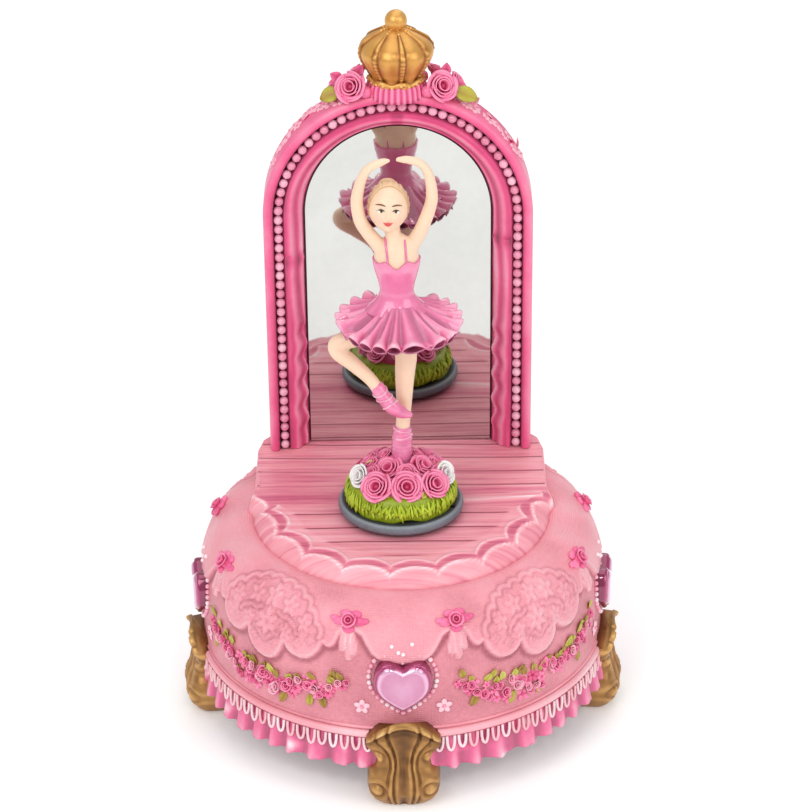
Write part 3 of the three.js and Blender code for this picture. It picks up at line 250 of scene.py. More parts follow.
def plank_floor(name, stops, dark):
    """Stage boards: long wavy grain, a few deep joints, and the pearly margin with its painted shade from the
    "shade" attribute.
    """
    made, nodes, links, shader = material(name)
    shade = nodes.new("ShaderNodeAttribute")
    shade.attribute_name = "shade"
    board = nodes.new("ShaderNodeAttribute")
    board.attribute_name = "board"
    grain = noise_node(nodes, links, 1.0, 6.0, (34.0, 620.0, 40.0), 0.62)
    broad = noise_node(nodes, links, 60.0, 4.0)
    coords = nodes.new("ShaderNodeTexCoord")
    joints = nodes.new("ShaderNodeTexWave")
    joints.bands_direction = "Y"
    joints.inputs["Scale"].default_value = WAVE / BOARD_WIDTH
    joints.inputs["Distortion"].default_value = 2.2
    joints.inputs["Detail"].default_value = 2.0
    joints.inputs["Detail Scale"].default_value = 0.35
    links.new(coords.outputs["Object"], joints.inputs["Vector"])
    line = nodes.new("ShaderNodeMapRange")
    line.inputs["From Min"].default_value = 0.0
    line.inputs["From Max"].default_value = 0.035
    links.new(joints.outputs["Fac"], line.inputs["Value"])
    value = sum_of(nodes, links, shade.outputs["Fac"], grain, 0.8)
    value = sum_of(nodes, links, value, broad, 0.14)
    colour = ramp(nodes, links, value, stops)
    cut = nodes.new("ShaderNodeMath")  # a joint shows only where there are boards
    cut.operation = "MULTIPLY_ADD"
    links.new(line.outputs["Result"], cut.inputs[0])
    links.new(board.outputs["Fac"], cut.inputs[1])
    inverse = nodes.new("ShaderNodeMath")
    inverse.operation = "SUBTRACT"
    inverse.inputs[0].default_value = 1.0
    links.new(board.outputs["Fac"], inverse.inputs[1])
    links.new(inverse.outputs[0], cut.inputs[2])
    blend = nodes.new("ShaderNodeMix")
    blend.data_type = "RGBA"
    links.new(cut.outputs[0], blend.inputs["Factor"])
    blend.inputs["A"].default_value = dark
    links.new(colour, blend.inputs["B"])
    links.new(blend.outputs["Result"], shader.inputs["Base Color"])
    links.new(spread(nodes, links, broad, 0.34, 0.52), shader.inputs["Roughness"])
    shader.inputs["Coat Weight"].default_value = 0.08
    height = nodes.new("ShaderNodeMath")
    height.operation = "MULTIPLY"
    links.new(grain, height.inputs[0])
    links.new(board.outputs["Fac"], height.inputs[1])
    bump(nodes, links, shader,
        [(height.outputs[0], 0.75, 0.35), (cut.outputs[0], 0.8, 0.3), (broad, 0.2, 0.2)])
    return made


def machined(name, colour, dark, roughness, metallic=1.0, stretch=(1.0, 1.0, 1.0), scale=500.0, worn=0.5):
    """Metal or moulded plastic: cloudy tone, fine scratches or grain, and a little grime."""
    made, nodes, links, shader = material(name)
    broad = noise_node(nodes, links, 55.0, 5.0)
    fine = noise_node(nodes, links, scale, 3.0, stretch)
    value = sum_of(nodes, links, broad, fine, worn)
    links.new(ramp(nodes, links, value,
        [(0.22, dark), (0.55, colour), (0.85, tuple(min(1, c * 1.25) for c in colour[:3]) + (1,))]),
        shader.inputs["Base Color"])
    links.new(spread(nodes, links, value, *roughness), shader.inputs["Roughness"])
    shader.inputs["Metallic"].default_value = metallic
    bump(nodes, links, shader, [(broad, 0.15, 0.1), (fine, 0.4, 0.03)])
    return made


PAINTS = {}


def paint_box():
    """Mixes every finish once."""
    if PAINTS:
        return PAINTS
    base = bpy.context.scene.music_box_base
    arch = bpy.context.scene.music_box_arch
    dancer = bpy.context.scene.music_box_dancer
    cloth, hot, rim = tuple(base.cloth_colour) + (1,), tuple(base.ruffle_colour) + (1,
        ), tuple(arch.frame_colour) + (1,)

    def toned(colour, factor, towards=(1, 1, 1), share=0.0):
        return tuple(clamp(mix(c * factor, t, share)) for c, t in zip(colour[:3], towards)) + (1,)

    def fold_shaded(colour, depth):
        """The colour of a fold in painted shade: darker and rosier."""
        return tuple(c * mix(1, k, depth) for c, k in zip(colour[:3], (0.3, 0.06, 0.13))) + (1,)

    # The ramps of the hand-painted finishes below are read by the "shade" attribute: their low stops give the
    # finish in painted shade, their high stops the finish with pearly paint and painted highlight.
    pearl = srgb(253, 236, 240)
    folded_cloth = [(0.0, fold_shaded(cloth, 1.0)), (0.27, fold_shaded(cloth, 0.55)), (0.5, cloth),
                    (0.72, toned(cloth, 1.0, pearl, 0.3)), (1.0, toned(cloth, 1.0, pearl, 0.85))]
    PAINTS["cloth"] = hand_painted("pearl_pink_cloth", folded_cloth,
        weave=0.85, coat=0.1, sheen=0.08, mottle=0.2, roughness=(0.34, 0.52))
    PAINTS["drape"] = hand_painted("pearl_pink_drape", folded_cloth,
        coat=0.12, roughness=(0.3, 0.48))
    PAINTS["ruffle"] = hand_painted("ruffle_pink",
        [(0.0, toned(hot, 0.28)), (0.3, toned(hot, 0.68)), (0.52, hot),
        (0.75, toned(hot, 1.0, pearl, 0.35)), (0.96, pearl)], coat=0.3, roughness=(0.25, 0.4))
    PAINTS["rose"] = hand_painted("rose_pink",
        [(0.0, srgb(140, 22, 66)), (0.25, srgb(206, 62, 112)), (0.5, srgb(238, 108, 156)),
        (0.74, srgb(247, 146, 182)), (0.97, srgb(254, 200, 216))], coat=0.15, mottle=0.12)
    PAINTS["rose_pale"] = hand_painted("rose_pale_pink",
        [(0.0, srgb(140, 40, 75)), (0.25, srgb(205, 105, 135)), (0.5, srgb(240, 150, 175)),
        (0.74, srgb(248, 190, 205)), (0.97, srgb(255, 235, 240))], coat=0.15, mottle=0.12)
    PAINTS["white_rose"] = hand_painted("rose_white",
        [(0.0, srgb(150, 140, 130)), (0.3, srgb(205, 200, 196)), (0.55, srgb(238, 235, 233)),
        (0.97, srgb(252, 251, 250))], coat=0.1)
    PAINTS["pearl"] = hand_painted("pearl_beads",
        [(0.0, srgb(170, 76, 108)), (0.4, srgb(228, 138, 168)), (0.6, srgb(240, 168, 192)),
        (1.0, srgb(255, 226, 236))], roughness=(0.16, 0.26), coat=0.6, mottle=0.3)
    PAINTS["frame"] = hand_painted("frame_satin_pink",
        [(0.0, toned(rim, 0.12)), (0.22, toned(rim, 0.5)), (0.5, rim), (0.75, toned(rim, 1.0, pearl, 0.3)),
        (0.97, pearl)], roughness=(0.3, 0.46), coat=0.12, mottle=0.14, grain=500.0)
    PAINTS["gold"] = hand_painted("antique_gold",
        [(0.0, srgb(62, 38, 22)), (0.28, srgb(122, 84, 48)), (0.5, srgb(170, 124, 70)),
        (0.72, srgb(212, 168, 104)), (0.97, srgb(246, 220, 168))], roughness=(0.28, 0.46), metallic=0.55,
        mottle=0.3, grain=420.0, grain_depth=0.09)
    PAINTS["crown"] = hand_painted("crown_gold",
        [(0.0, srgb(96, 52, 26)), (0.28, srgb(160, 100, 48)), (0.5, srgb(214, 156, 78)),
        (0.72, srgb(234, 186, 108)), (0.97, srgb(252, 226, 166))], roughness=(0.26, 0.42), metallic=0.5,
        mottle=0.24, grain=420.0, grain_depth=0.07)
    PAINTS["leaf"] = hand_painted("leaf_lime_gold",
        [(0.0, srgb(104, 74, 20)), (0.35, srgb(166, 132, 46)), (0.6, srgb(182, 178, 62)),
        (1.0, srgb(222, 216, 124))], mottle=0.55, grain=260.0)
    PAINTS["grass"] = hand_painted("grass_lime",
        [(0.0, srgb(60, 72, 6)), (0.3, srgb(118, 136, 14)), (0.55, srgb(166, 186, 26)),
        (0.8, srgb(196, 214, 62)), (1.0, srgb(224, 234, 130))], mottle=0.3)
    PAINTS["gem"] = hand_painted("heart_gem",
        [(0.0, srgb(110, 14, 56)), (0.25, srgb(176, 52, 108)), (0.5, srgb(208, 142, 176)),
        (0.75, srgb(232, 184, 214)), (1.0, srgb(255, 246, 255))], roughness=(0.06, 0.14), coat=1.0,
        metallic=0.35, mottle=0.1, grain=700.0, grain_depth=0.01)
    PAINTS["disc"] = hand_painted("turntable_grey",
        [(0.0, srgb(18, 18, 20)), (0.3, srgb(58, 58, 62)), (0.55, srgb(96, 102, 110)),
        (0.85, srgb(142, 150, 158)), (1.0, srgb(176, 184, 190))], roughness=(0.4, 0.58), mottle=0.26,
        grain=1200.0)
    PAINTS["dress"] = hand_painted("dress_gloss_pink",
        [(0.0, toned(dancer.dress_colour, 0.3)), (0.28, toned(dancer.dress_colour, 0.62)),
        (0.5, tuple(dancer.dress_colour) + (1,)), (0.76, toned(dancer.dress_colour, 1.0, pearl, 0.28)),
        (0.98, pearl)], roughness=(0.2, 0.32), coat=1.0, mottle=0.14)
    PAINTS["enamel"] = flat_painted("dancer_enamel")
    PAINTS["boards"] = plank_floor("stage_boards",
        [(0.0, srgb(150, 62, 80)), (0.3, srgb(216, 108, 138)), (0.5, srgb(240, 156, 168)),
        (0.7, srgb(248, 184, 194)), (0.95, pearl)], srgb(166, 78, 94))
    PAINTS["plastic"] = machined("black_plastic", srgb(30, 30, 33), srgb(16, 16, 18), (0.42, 0.62),
        metallic=0.0, scale=1400.0)
    PAINTS["zinc"] = machined("cast_zinc", srgb(168, 170, 174), srgb(104, 106, 110), (0.34, 0.55),
        scale=900.0)
    PAINTS["steel"] = machined("steel", srgb(190, 192, 196), srgb(112, 114, 120), (0.2, 0.36),
        stretch=(1, 1, 14))
    PAINTS["brass"] = machined("brass", srgb(212, 172, 92), srgb(140, 98, 42), (0.2, 0.38), stretch=(1, 1, 9))
    made, nodes, links, shader = material("mirror_silvering")
    smear = noise_node(nodes, links, 30.0, 5.0)
    speck = noise_node(nodes, links, 420.0, 2.0)
    links.new(ramp(nodes, links, sum_of(nodes, links, smear, speck, 0.3),
        [(0.2, srgb(196, 196, 193)), (0.7, srgb(208, 208, 205))]), shader.inputs["Base Color"])
    links.new(spread(nodes, links, smear, 0.012, 0.05), shader.inputs["Roughness"])
    shader.inputs["Metallic"].default_value = 1.0
    bump(nodes, links, shader, [(smear, 0.02, 0.05)])
    PAINTS["mirror"] = made
    return PAINTS


# ---- Modelling helpers; lengths in millimetres until a piece is finished -------------------------

def clay():
    """An empty mesh with its paint layers ready."""
    bm = bmesh.new()
    bm.verts.layers.float.new("shade")
    return bm


def shade_of(bm):
    return bm.verts.layers.float["shade"]


def join(bm, own):
    """Adds a shape made on its own bench to the piece."""
    draft = bpy.data.meshes.new("draft")
    own.to_mesh(draft)
    own.free()
    bm.from_mesh(draft)
    bpy.data.meshes.remove(draft)


def bench(shape):
    """Makes a shape on a small bench of its own first, which keeps large pieces quick to build."""
    def build(bm, *settings, **named):
        own = clay()
        shape(own, *settings, **named)
        join(bm, own)
    return build


def tint(bm, verts, shade):
    layer = shade_of(bm)
    for v in verts:
        v[layer] = shade(v) if callable(shade) else shade


def ring_edges(ring):
    inside = set(ring)
    return list({e for v in ring for e in v.link_edges if e.other_vert(v) in inside})


@bench
def loft(bm, rings, shade=0.5, joined=False):
    """Extrudes a ring of vertices from section to section and closes both ends."""
    row = bmesh.ops.create_circle(bm, cap_ends=False, segments=len(rings[0]), radius=1)["verts"]
    for v, at in zip(row, rings[0]):
        v.co = at
    first, verts = row, list(row)
    edges = ring_edges(row)
    for ring in rings[1:]:
        grown = set(g for g in bmesh.ops.extrude_edge_only(bm, edges=edges)["geom"]
            if isinstance(g, bmesh.types.BMVert))
        row = [next(e.other_vert(v) for e in v.link_edges if e.other_vert(v) in grown) for v in row]
        for v, at in zip(row, ring):
            v.co = at
        edges = ring_edges(row)
        verts += row
    if joined:
        bmesh.ops.bridge_loops(bm, edges=ring_edges(first) + edges)
    else:
        bmesh.ops.contextual_create(bm, geom=ring_edges(first))
        bmesh.ops.contextual_create(bm, geom=edges)
    if shade is not None:
        tint(bm, verts, shade)


def rod(bm, path, radii, sides=12, flat=1.0, up=UP, shade=0.5, joined=False, rounded=False):
    """A round or flattened rod along a path; up may be a function of the point."""
    path = [Vector(p) for p in path]
    if not hasattr(radii, "__len__"):
        radii = [radii] * len(path)
    if rounded:  # a dome at each end
        head, tail = (path[0] - path[1]).normalized(), (path[-1] - path[-2]).normalized()
        r0, r1 = radii[0], radii[-1]
        path = [path[0] + head * r0 * k for k in (0.97, 0.8, 0.45)] + path + [path[-1] + tail * r1 * k
            for k in (0.45, 0.8, 0.97)]
        radii = [r0 * k for k in (0.2, 0.62, 0.9)] + list(radii) + [r1 * k for k in (0.9, 0.62, 0.2)]
    rings, last = [], None
    count = len(path)
    for i, (at, radius) in enumerate(zip(path, radii)):
        before = path[(i - 1) % count] if joined else path[max(i - 1, 0)]
        after = path[(i + 1) % count] if joined else path[min(i + 1, count - 1)]
        forward = (after - before).normalized()
        high = up(at) if callable(up) else up
        side = forward.cross(high)
        if side.length < 0.05:
            side = last or forward.orthogonal()
        side = (side - forward * side.dot(forward)).normalized()
        last = side
        top = side.cross(forward)
        rings.append([at + side * (math.cos(k / sides * TURN) * radius)
            + top * (math.sin(k / sides * TURN) * radius * flat) for k in range(sides)])
    loft(bm, rings, shade=shade, joined=joined)


@bench
def lathe(bm, profile, steps, centre=(0.0, 0.0), shade=0.5):
    """Turns a profile of (radius, height) about an upright axis."""
    c = Vector((centre[0], centre[1], 0))
    chain = [bm.verts.new(c + Vector((0, -r, z))) for r, z in profile]
    edges = [bm.edges.new(pair) for pair in zip(chain, chain[1:])]
    tint(bm, chain, shade)
    bmesh.ops.spin(bm, geom=chain + edges, cent=c, axis=UP, angle=TURN, steps=steps, use_merge=True)
    bmesh.ops.remove_doubles(bm, verts=bm.verts, dist=1e-3)


@bench
def ball(bm, centre, radius, u=12, v=8, shade=0.5, stretch=(1, 1, 1), turn=None):
    place = Matrix.Translation(centre) @ (turn.to_4x4() if turn
        else Matrix.Identity(4)) @ Matrix.Diagonal((*stretch, 1))
    verts = bmesh.ops.create_uvsphere(bm, u_segments=u, v_segments=v, radius=radius, matrix=place)["verts"]
    tint(bm, verts, shade)


def second_skin(bm, verts):
    """Raises a copy of the faces on verts, joined to them at the edges, and gives back its vertices."""
    faces = list({f for v in verts for f in v.link_faces})
    geom = bmesh.ops.extrude_face_region(bm, geom=faces, use_keep_orig=True)["geom"]
    return [g for g in geom if isinstance(g, bmesh.types.BMVert)]


def facing(direction, up=UP):
    """A rotation whose Z looks along direction and whose Y keeps close to up."""
    z = Vector(direction).normalized()
    x = Vector(up).cross(z)
    x = x.normalized() if x.length > 1e-4 else z.orthogonal().normalized()
    return Matrix((x, z.cross(x), z)).transposed()


@bench
def petal(bm, place, radius, height, arc, lip=1.2, turn=0.0, steps=6, thick=0.16, rows=5, droop=0.35):
    """One rose petal: a curled profile spun part of the way round, rounded off at its ends."""
    profile = [(0.34, 0.0), (0.74, 0.3), (0.97, 0.68), (1.04, 0.92), (lip, 1.0)][-rows:]
    cut = math.radians(turn - arc / 2)
    chain = [bm.verts.new((radius * r * math.cos(cut), radius * r * math.sin(cut), height * z))
        for r, z in profile]
    edges = [bm.edges.new(pair) for pair in zip(chain, chain[1:])]
    bmesh.ops.spin(bm, geom=chain + edges, cent=(0, 0, 0), axis=UP, angle=math.radians(arc), steps=steps)
    verts = list(bm.verts)
    for v in verts:
        a = math.degrees(math.atan2(v.co.y, v.co.x)) - turn
        u = ((a + 180) % 360 - 180) / (arc / 2)
        rise = v.co.z / height
        grow = 1 + 0.07 * u * rise
        v.co.x *= grow
        v.co.y *= grow
        v.co.z -= height * droop * rise * abs(u) ** 3
    grown = second_skin(bm, verts)
    for v in grown:
        reach = math.hypot(v.co.x, v.co.y)
        v.co.x, v.co.y = v.co.x * (1 - thick / reach), v.co.y * (1 - thick / reach)
        v.co.z += thick * 0.5
    # each petal is in painted shade at its base, deep in the rose, and lighter towards its lip
    tint(bm, bm.verts, lambda v: clamp(0.2 + 0.5 * (v.co.z / height)))
    bmesh.ops.transform(bm, matrix=place, verts=bm.verts)


@bench
def rose(bm, at, direction, radius, seed=0, layers=3, steps=6):
    """A full rose built up from its rolled heart outwards."""
    pick = random.Random(seed)
    place = Matrix.Translation(at) @ facing(direction,
        Vector((0.1, 0.2, 1))).to_4x4() @ Matrix.Rotation(pick.uniform(0, TURN), 4, "Z")
    # the rolled heart is dark, in painted shade
    ball(bm, (0, 0, radius * 0.2), radius * 0.3, 8, 6, 0.15, (1, 1, 1.4))
    for k in range(layers):
        share = (k + 1) / layers
        size = radius * mix(0.3, 0.86, (k + 0.25) / layers * 1.1)
        tall = radius * mix(0.92, 0.6, share)
        count = 2 + k
        for n in range(count):
            turn = n * 360 / count + k * 47 + pick.uniform(-12, 12)
            petal(bm, Matrix.Identity(4), size * pick.uniform(0.95, 1.05), tall * pick.uniform(0.92, 1.06),
                360 / count * 1.25, 1.04 + 0.2 * share, turn, steps, radius * 0.055, 5, 0.12 + 0.2 * share)
    bmesh.ops.transform(bm, matrix=place, verts=bm.verts)


@bench
def leaf(bm, at, direction, normal, length, width, curl=0.2, shade=0.5):
    """A pointed leaf with a pressed middle vein."""
    verts = bmesh.ops.create_grid(bm, x_segments=4, y_segments=6, size=0.5)["verts"]
    for v in verts:
        t, u = v.co.y + 0.5, v.co.x * 2
        wide = width * 0.5 * math.sin(math.pi * clamp(t * 0.94 + 0.04)) ** 0.8
        v.co = Vector((u * wide, t * length,
            abs(u) * wide * 0.35 - curl * length * t * t + 0.12 * width * math.sin(t * 19) * abs(u)))
    grown = second_skin(bm, verts)
    bmesh.ops.translate(bm, vec=(0, 0, -width * 0.14), verts=grown)
    verts = verts + grown
    # darker along the pressed vein, in painted shade, and lighter towards the edges
    tint(bm, verts, lambda v: shade + 0.25 * clamp(abs(v.co.x) / (width * 0.5)) - 0.15)
    y = Vector(direction).normalized()
    z = (Vector(normal) - y * Vector(normal).dot(y)).normalized()
    bmesh.ops.transform(bm, matrix=Matrix.Translation(at)
        @ Matrix((y.cross(z), y, z)).transposed().to_4x4(), verts=verts)


@bench
def blossom(bm, at, normal, radius, petals=5, shade=0.7, spin=0.0, height=0.35):
    """A small open flower: flat round petals about a raised eye."""
    place = Matrix.Translation(at) @ facing(normal).to_4x4()
    for k in range(petals):
        a = spin + k / petals * TURN
        turn = Matrix.Rotation(a, 4, "Z")
        verts = bmesh.ops.create_uvsphere(bm, u_segments=8, v_segments=5, radius=radius * 0.42,
            matrix=place @ turn @ Matrix.Translation((radius * 0.56, 0, 0))
            @ Matrix.Diagonal((1.15, 0.86, height, 1)))["verts"]
        tint(bm, verts, shade)
    ball(bm, place @ Vector((0, 0, radius * 0.12)), radius * 0.22, 8, 5, shade - 0.25)


def finish_piece(name, bm, body, paint, replaces=()):
    """Turns the clay into a finished piece in metres, in place, and hangs it on its body."""
    bmesh.ops.recalc_face_normals(bm, faces=bm.faces)
    bmesh.ops.scale(bm, vec=(MM, MM, MM), verts=bm.verts)
    for f in bm.faces:
        f.smooth = True
    mesh = bpy.data.meshes.new(name)
    bm.to_mesh(mesh)
    bm.free()
    mesh.materials.append(paint_box()[paint])
    piece = bpy.data.objects.new(name, mesh)
    bpy.context.scene.collection.objects.link(piece)
    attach(piece, body)
    if replaces:
        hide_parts(*replaces)
    return piece


def smooth_by_angle(piece, degrees):
    piece.data.set_sharp_from_angle(angle=math.radians(degrees))


# ---- The dome's own shape -----------------------------------------------------------------------

WALL = [(59.7, 23.4), (59.5, 28.0), (59.3, 36.0), (58.8, 45.0), (57.1, 51.6), (54.2, 56.4), (50.0, 59.1),
    (43.3, 60.8)]
WALL_CURVE = [(p.x, p.y) for p in spline([(r, z, 0) for r, z in WALL], 85)]
WALL_RUN = [0.0]
for (r0, z0), (r1, z1) in zip(WALL_CURVE, WALL_CURVE[1:]):
    WALL_RUN.append(WALL_RUN[-1] + math.hypot(r1 - r0, z1 - z0))
DEGREE = 1.02  # millimetres along the wall for each degree round it


def on_wall(angle, run, lift=0.0):
    """A point on the dome at an angle from the front and a distance up the cloth, with its outward normal."""
    run = clamp(run, 0.01, WALL_RUN[-1] - 0.01)
    k = next(i for i in range(1, len(WALL_RUN)) if WALL_RUN[i] >= run)
    t = (run - WALL_RUN[k - 1]) / (WALL_RUN[k] - WALL_RUN[k - 1])
    (r0, z0), (r1, z1) = WALL_CURVE[k - 1], WALL_CURVE[k]
    r, z = mix(r0, r1, t), mix(z0, z1, t)
    out = Vector((z1 - z0, r0 - r1)).normalized()
    a = math.radians(angle)
    normal = Vector((out.x * math.sin(a), -out.x * math.cos(a), out.y))
    return around(angle, r, z) + normal * lift, normal


# The lace and cloth edges of one eighth of the dome, as (degrees from a heart, millimetres up the wall).
CLOTH_EDGE = [(0, 22.5), (5, 22.8), (7.5, 23.6), (9.4, 25.2), (11.2, 27.8), (12.6, 30.0), (14.4, 31.0),
    (16.8, 31.2), (18.8, 30.6), (19.7, 29.4), (20.6, 27.3), (21.6, 26.0), (22.8, 25.4), (23.9, 25.5),
    (24.7, 26.2), (25.4, 23.8), (27.0, 21.7), (29.0, 20.3), (31.2, 19.9), (33.6, 20.2), (35.6, 21.2),
    (36.9, 22.3), (37.6, 23.4), (38.2, 20.8), (39.6, 18.6), (41.4, 17.3), (43.2, 16.7), (45, 16.5)]
LACE_EDGE = [(26.0, 27.6), (27.4, 31.6), (30.8, 34.6), (34.8, 37.3), (39.6, 38.9), (45, 39.3)]
LACE_FLOWERS = [(45, 34.8, 3.6, 5), (37.8, 33.6, 3.3, 5), (31.4, 30.4, 2.9, 5), (45, 27.4, 4.4, 6),
    (37.6, 26.6, 2.7, 5), (28.6, 26.2, 1.5, 4), (41.2, 22.4, 1.5, 4), (33.0, 24.4, 1.6, 4)]
LACE_CURLS = [[(41.4, 30.8), (39.4, 30.2), (37.0, 29.9), (34.6, 28.6), (33.8, 27.0)],
    [(45, 22.4), (42.8, 24.0), (40.6, 25.0)]]
RIBBON = [[(16.2, 31.0), (15.2, 28.6), (14.9, 25.2)], [(17.4, 31.0), (18.4, 28.8), (18.7, 26.2)],
    [(16.8, 31.0), (16.5, 27.0), (16.6, 23.6)]]


def scalloped(points, bulge, per=6):
    """A line whose pieces bow out one by one, like the edge of lace."""
    out = []
    for (a0, s0), (a1, s1) in zip(points, points[1:]):
        dx, dy = (a1 - a0) * DEGREE, s1 - s0
        length = math.hypot(dx, dy)
        for k in range(per):
            t = k / per
            b = bulge * math.sin(math.pi * t) ** 0.7
            out.append((a0 + (a1 - a0) * t - dy / length * b / DEGREE, s0 + dy * t + dx / length * b))
    return out + [points[-1]]


def distance_to(line, x, y):
    best = 1e9
    for (ax, ay), (bx, by) in zip(line, line[1:]):
        if min(ax, bx) - 2.5 > x or max(ax, bx) + 2.5 < x or min(ay, by) - 2.5 > y or max(ay, by) + 2.5 < y:
            continue
        dx, dy = bx - ax, by - ay
        t = clamp(((x - ax) * dx + (y - ay) * dy) / (dx * dx + dy * dy))
        best = min(best, math.hypot(ax + dx * t - x, ay + dy * t - y))
    return best


HEART_PLACES = [(-180, -180), (-90, -83), (0, 0), (90, 83), (180, 180)]


def lay(angle):
    """Where an angle of the even four-part layout falls, now that the side hearts sit a little forward."""
    return table(HEART_PLACES, (angle + 180) % 360 - 180)


class Relief:
    """Height and paint of the draped cloth, with painted shade in its hollows and under its edges, worked out
    for an eighth of the dome and read for the rest.
    """
    STEP = 0.35

    def __init__(self, depth):
        flat = lambda line: [(a * DEGREE, s) for a, s in line]
        edge, lace = flat(CLOTH_EDGE), flat(scalloped(LACE_EDGE, 1.3))
        inner = flat(scalloped([(27.8, 26.2), (30.4, 30.6), (34.6, 33.6), (38.8, 36.0), (45, 36.4)], 0.9))
        curls, tails = [flat(c) for c in LACE_CURLS], [flat(c) for c in RIBBON]
        self.columns = int(45 * DEGREE / self.STEP) + 2
        self.rows = int(WALL_RUN[-1] / self.STEP) + 2
        self.cells = []
        for j in range(self.rows):
            y = j * self.STEP
            for i in range(self.columns):
                x = i * self.STEP
                bottom = table(edge, x)
                gap = distance_to(edge, x, y)
                above = y > bottom
                signed = gap if above else -gap
                cloth = ease(signed, -0.35, 0.3)
                height = depth * cloth
                shade = mix(0.4, 0.52, cloth)
                # the shadow wash under the cloth's edge
                shade -= 0.24 * math.exp(-((signed + 0.9) / 0.8) ** 2)
                if x > 6:
                    rim = math.exp(-((signed - 0.75) / 0.5) ** 2)
                    height += 0.32 * rim
                    shade += 0.17 * rim
                if above:
                    # the lace ridges take pearly paint and painted highlight; the troughs beside the lace and
                    # the curls, the flowers' eyes and their outlines take painted shade
                    d = distance_to(lace, x, y)
                    height += 0.6 * math.exp(-(d / 0.5) ** 2)
                    shade += 0.1 * math.exp(-(d / 0.45) ** 2) - 0.18 * math.exp(-((d - 1.05) / 0.35) ** 2)
                    d = distance_to(inner, x, y)
                    height -= 0.16 * math.exp(-(d / 0.35) ** 2)
                    for line in curls:
                        d = distance_to(line, x, y)
                        height += 0.4 * math.exp(-(d / 0.5) ** 2)
                        shade -= 0.16 * math.exp(-((d - 0.95) / 0.35) ** 2)
                    for a, s, radius, petals in LACE_FLOWERS:
                        dx, dy = x - a * DEGREE, y - s
                        d = math.hypot(dx, dy)
                        if d < radius * 1.4:
                            lobe = radius * (0.72 + 0.28 * math.cos(petals * math.atan2(dx, dy)))
                            rise = ease(lobe - d, -0.15, 0.55)
                            eye = math.exp(-(d / (radius * 0.2)) ** 2)
                            height += 0.75 * rise * (0.45 + 0.55 * d / radius) - 0.25 * eye
                            shade += 0.07 * rise - 0.18 * eye - 0.12 * math.exp(-((lobe - d + 0.35)
                                / 0.3) ** 2)
                for line in tails:
                    d = distance_to(line, x, y)
                    height = max(height, (depth + 0.25) * ease(1.15 - d, 0, 0.35)) if y < 31.5 else height
                    if y < 31.5:
                        shade = mix(shade, 0.56 + 0.3 * math.exp(-((d - 0.9) / 0.25) ** 2),
                            ease(1.2 - d, 0, 0.2))
                self.cells.append((height, shade))

    def at(self, angle, run):
        angle = table([(b, a) for a, b in HEART_PLACES], (angle + 180) % 360 - 180)
        folded = abs((angle + 45) % 90 - 45) * DEGREE / self.STEP
        up = clamp(run / self.STEP, 0, self.rows - 1.001)
        i, j = min(int(folded), self.columns - 2), int(up)
        u, v = folded - i, up - j
        out = []
        for part in (0, 1):
            a, b = self.cells[j * self.columns + i][part], self.cells[j * self.columns + i + 1][part]
            c, d = self.cells[(j + 1) * self.columns + i][part], self.cells[(j + 1) * self.columns + i
                + 1][part]
            out.append(mix(mix(a, b, u), mix(c, d, u), v))
        return out


# ---- Settings -----------------------------------------------------------------------------------

class MusicBoxBase(bpy.types.PropertyGroup):
    cloth_colour: bpy.props.FloatVectorProperty(name="Cloth",
        description="Colour of the draped cloth on the dome", subtype="COLOR", size=3, min=0, max=1,
        default=srgb(236, 150, 163)[:3])
    ruffle_colour: bpy.props.FloatVectorProperty(name="Ruffle",
        description="Colour of the ruffle under the hem", subtype="COLOR", size=3, min=0, max=1,
        default=srgb(228, 98, 146)[:3])
    cloth_depth: bpy.props.FloatProperty(name="Cloth depth",
        description="How far the draped cloth stands off the underskirt, in millimetres", default=1.0,
        min=0.2, max=2.0)
    pleats: bpy.props.IntProperty(name="Pleats", description="How many folds the ruffle has", default=54,
        min=12, max=90)
    loops: bpy.props.IntProperty(name="Loops", description="How many picot loops hang from the hem",
        default=112, min=24, max=160)


class MusicBoxArch(bpy.types.PropertyGroup):
    frame_colour: bpy.props.FloatVectorProperty(name="Frame", description="Colour of the mirror's frame",
        subtype="COLOR", size=3, min=0, max=1, default=srgb(233, 88, 140)[:3])
    half_width: bpy.props.FloatProperty(name="Half width",
        description="From the middle of the arch to its outer side", subtype="DISTANCE", unit="LENGTH",
        default=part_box("mirror_frame")[1][0], min=0.02, max=0.08)
    bead: bpy.props.FloatProperty(name="Bead radius",
        description="Radius of the beads round the arch, in millimetres", default=1.36, min=0.4, max=2.0)
    bead_count: bpy.props.IntProperty(name="Beads", description="How many beads run round the arch",
        default=88, min=20, max=140)


class MusicBoxDancer(bpy.types.PropertyGroup):
    skin_colour: bpy.props.FloatVectorProperty(name="Skin", description="Colour of the dancer's skin",
        subtype="COLOR", size=3, min=0, max=1, default=srgb(240, 209, 180)[:3])
    hair_colour: bpy.props.FloatVectorProperty(name="Hair", description="Colour of the dancer's hair",
        subtype="COLOR", size=3, min=0, max=1, default=srgb(202, 154, 112)[:3])
    dress_colour: bpy.props.FloatVectorProperty(name="Dress",
        description="Colour of the bodice, the tutu and the shoes", subtype="COLOR", size=3, min=0, max=1,
        default=srgb(233, 122, 166)[:3])
    flutes: bpy.props.IntProperty(name="Flutes", description="How many flutes the tutu has", default=19,
        min=6, max=40)


class MusicBoxStage(bpy.types.PropertyGroup):
    key_power: bpy.props.FloatProperty(name="Key light", description="Strength of the large soft light",
        unit="POWER", default=5.7, min=0)
    fill_power: bpy.props.FloatProperty(name="Fill light", description="Strength of the fill light",
        unit="POWER", default=3.1, min=0)
    sky: bpy.props.FloatProperty(name="Sky", description="Strength of the even light from all round",
        default=0.5, min=0)


# ---- Pieces -------------------------------------------------------------------------------------

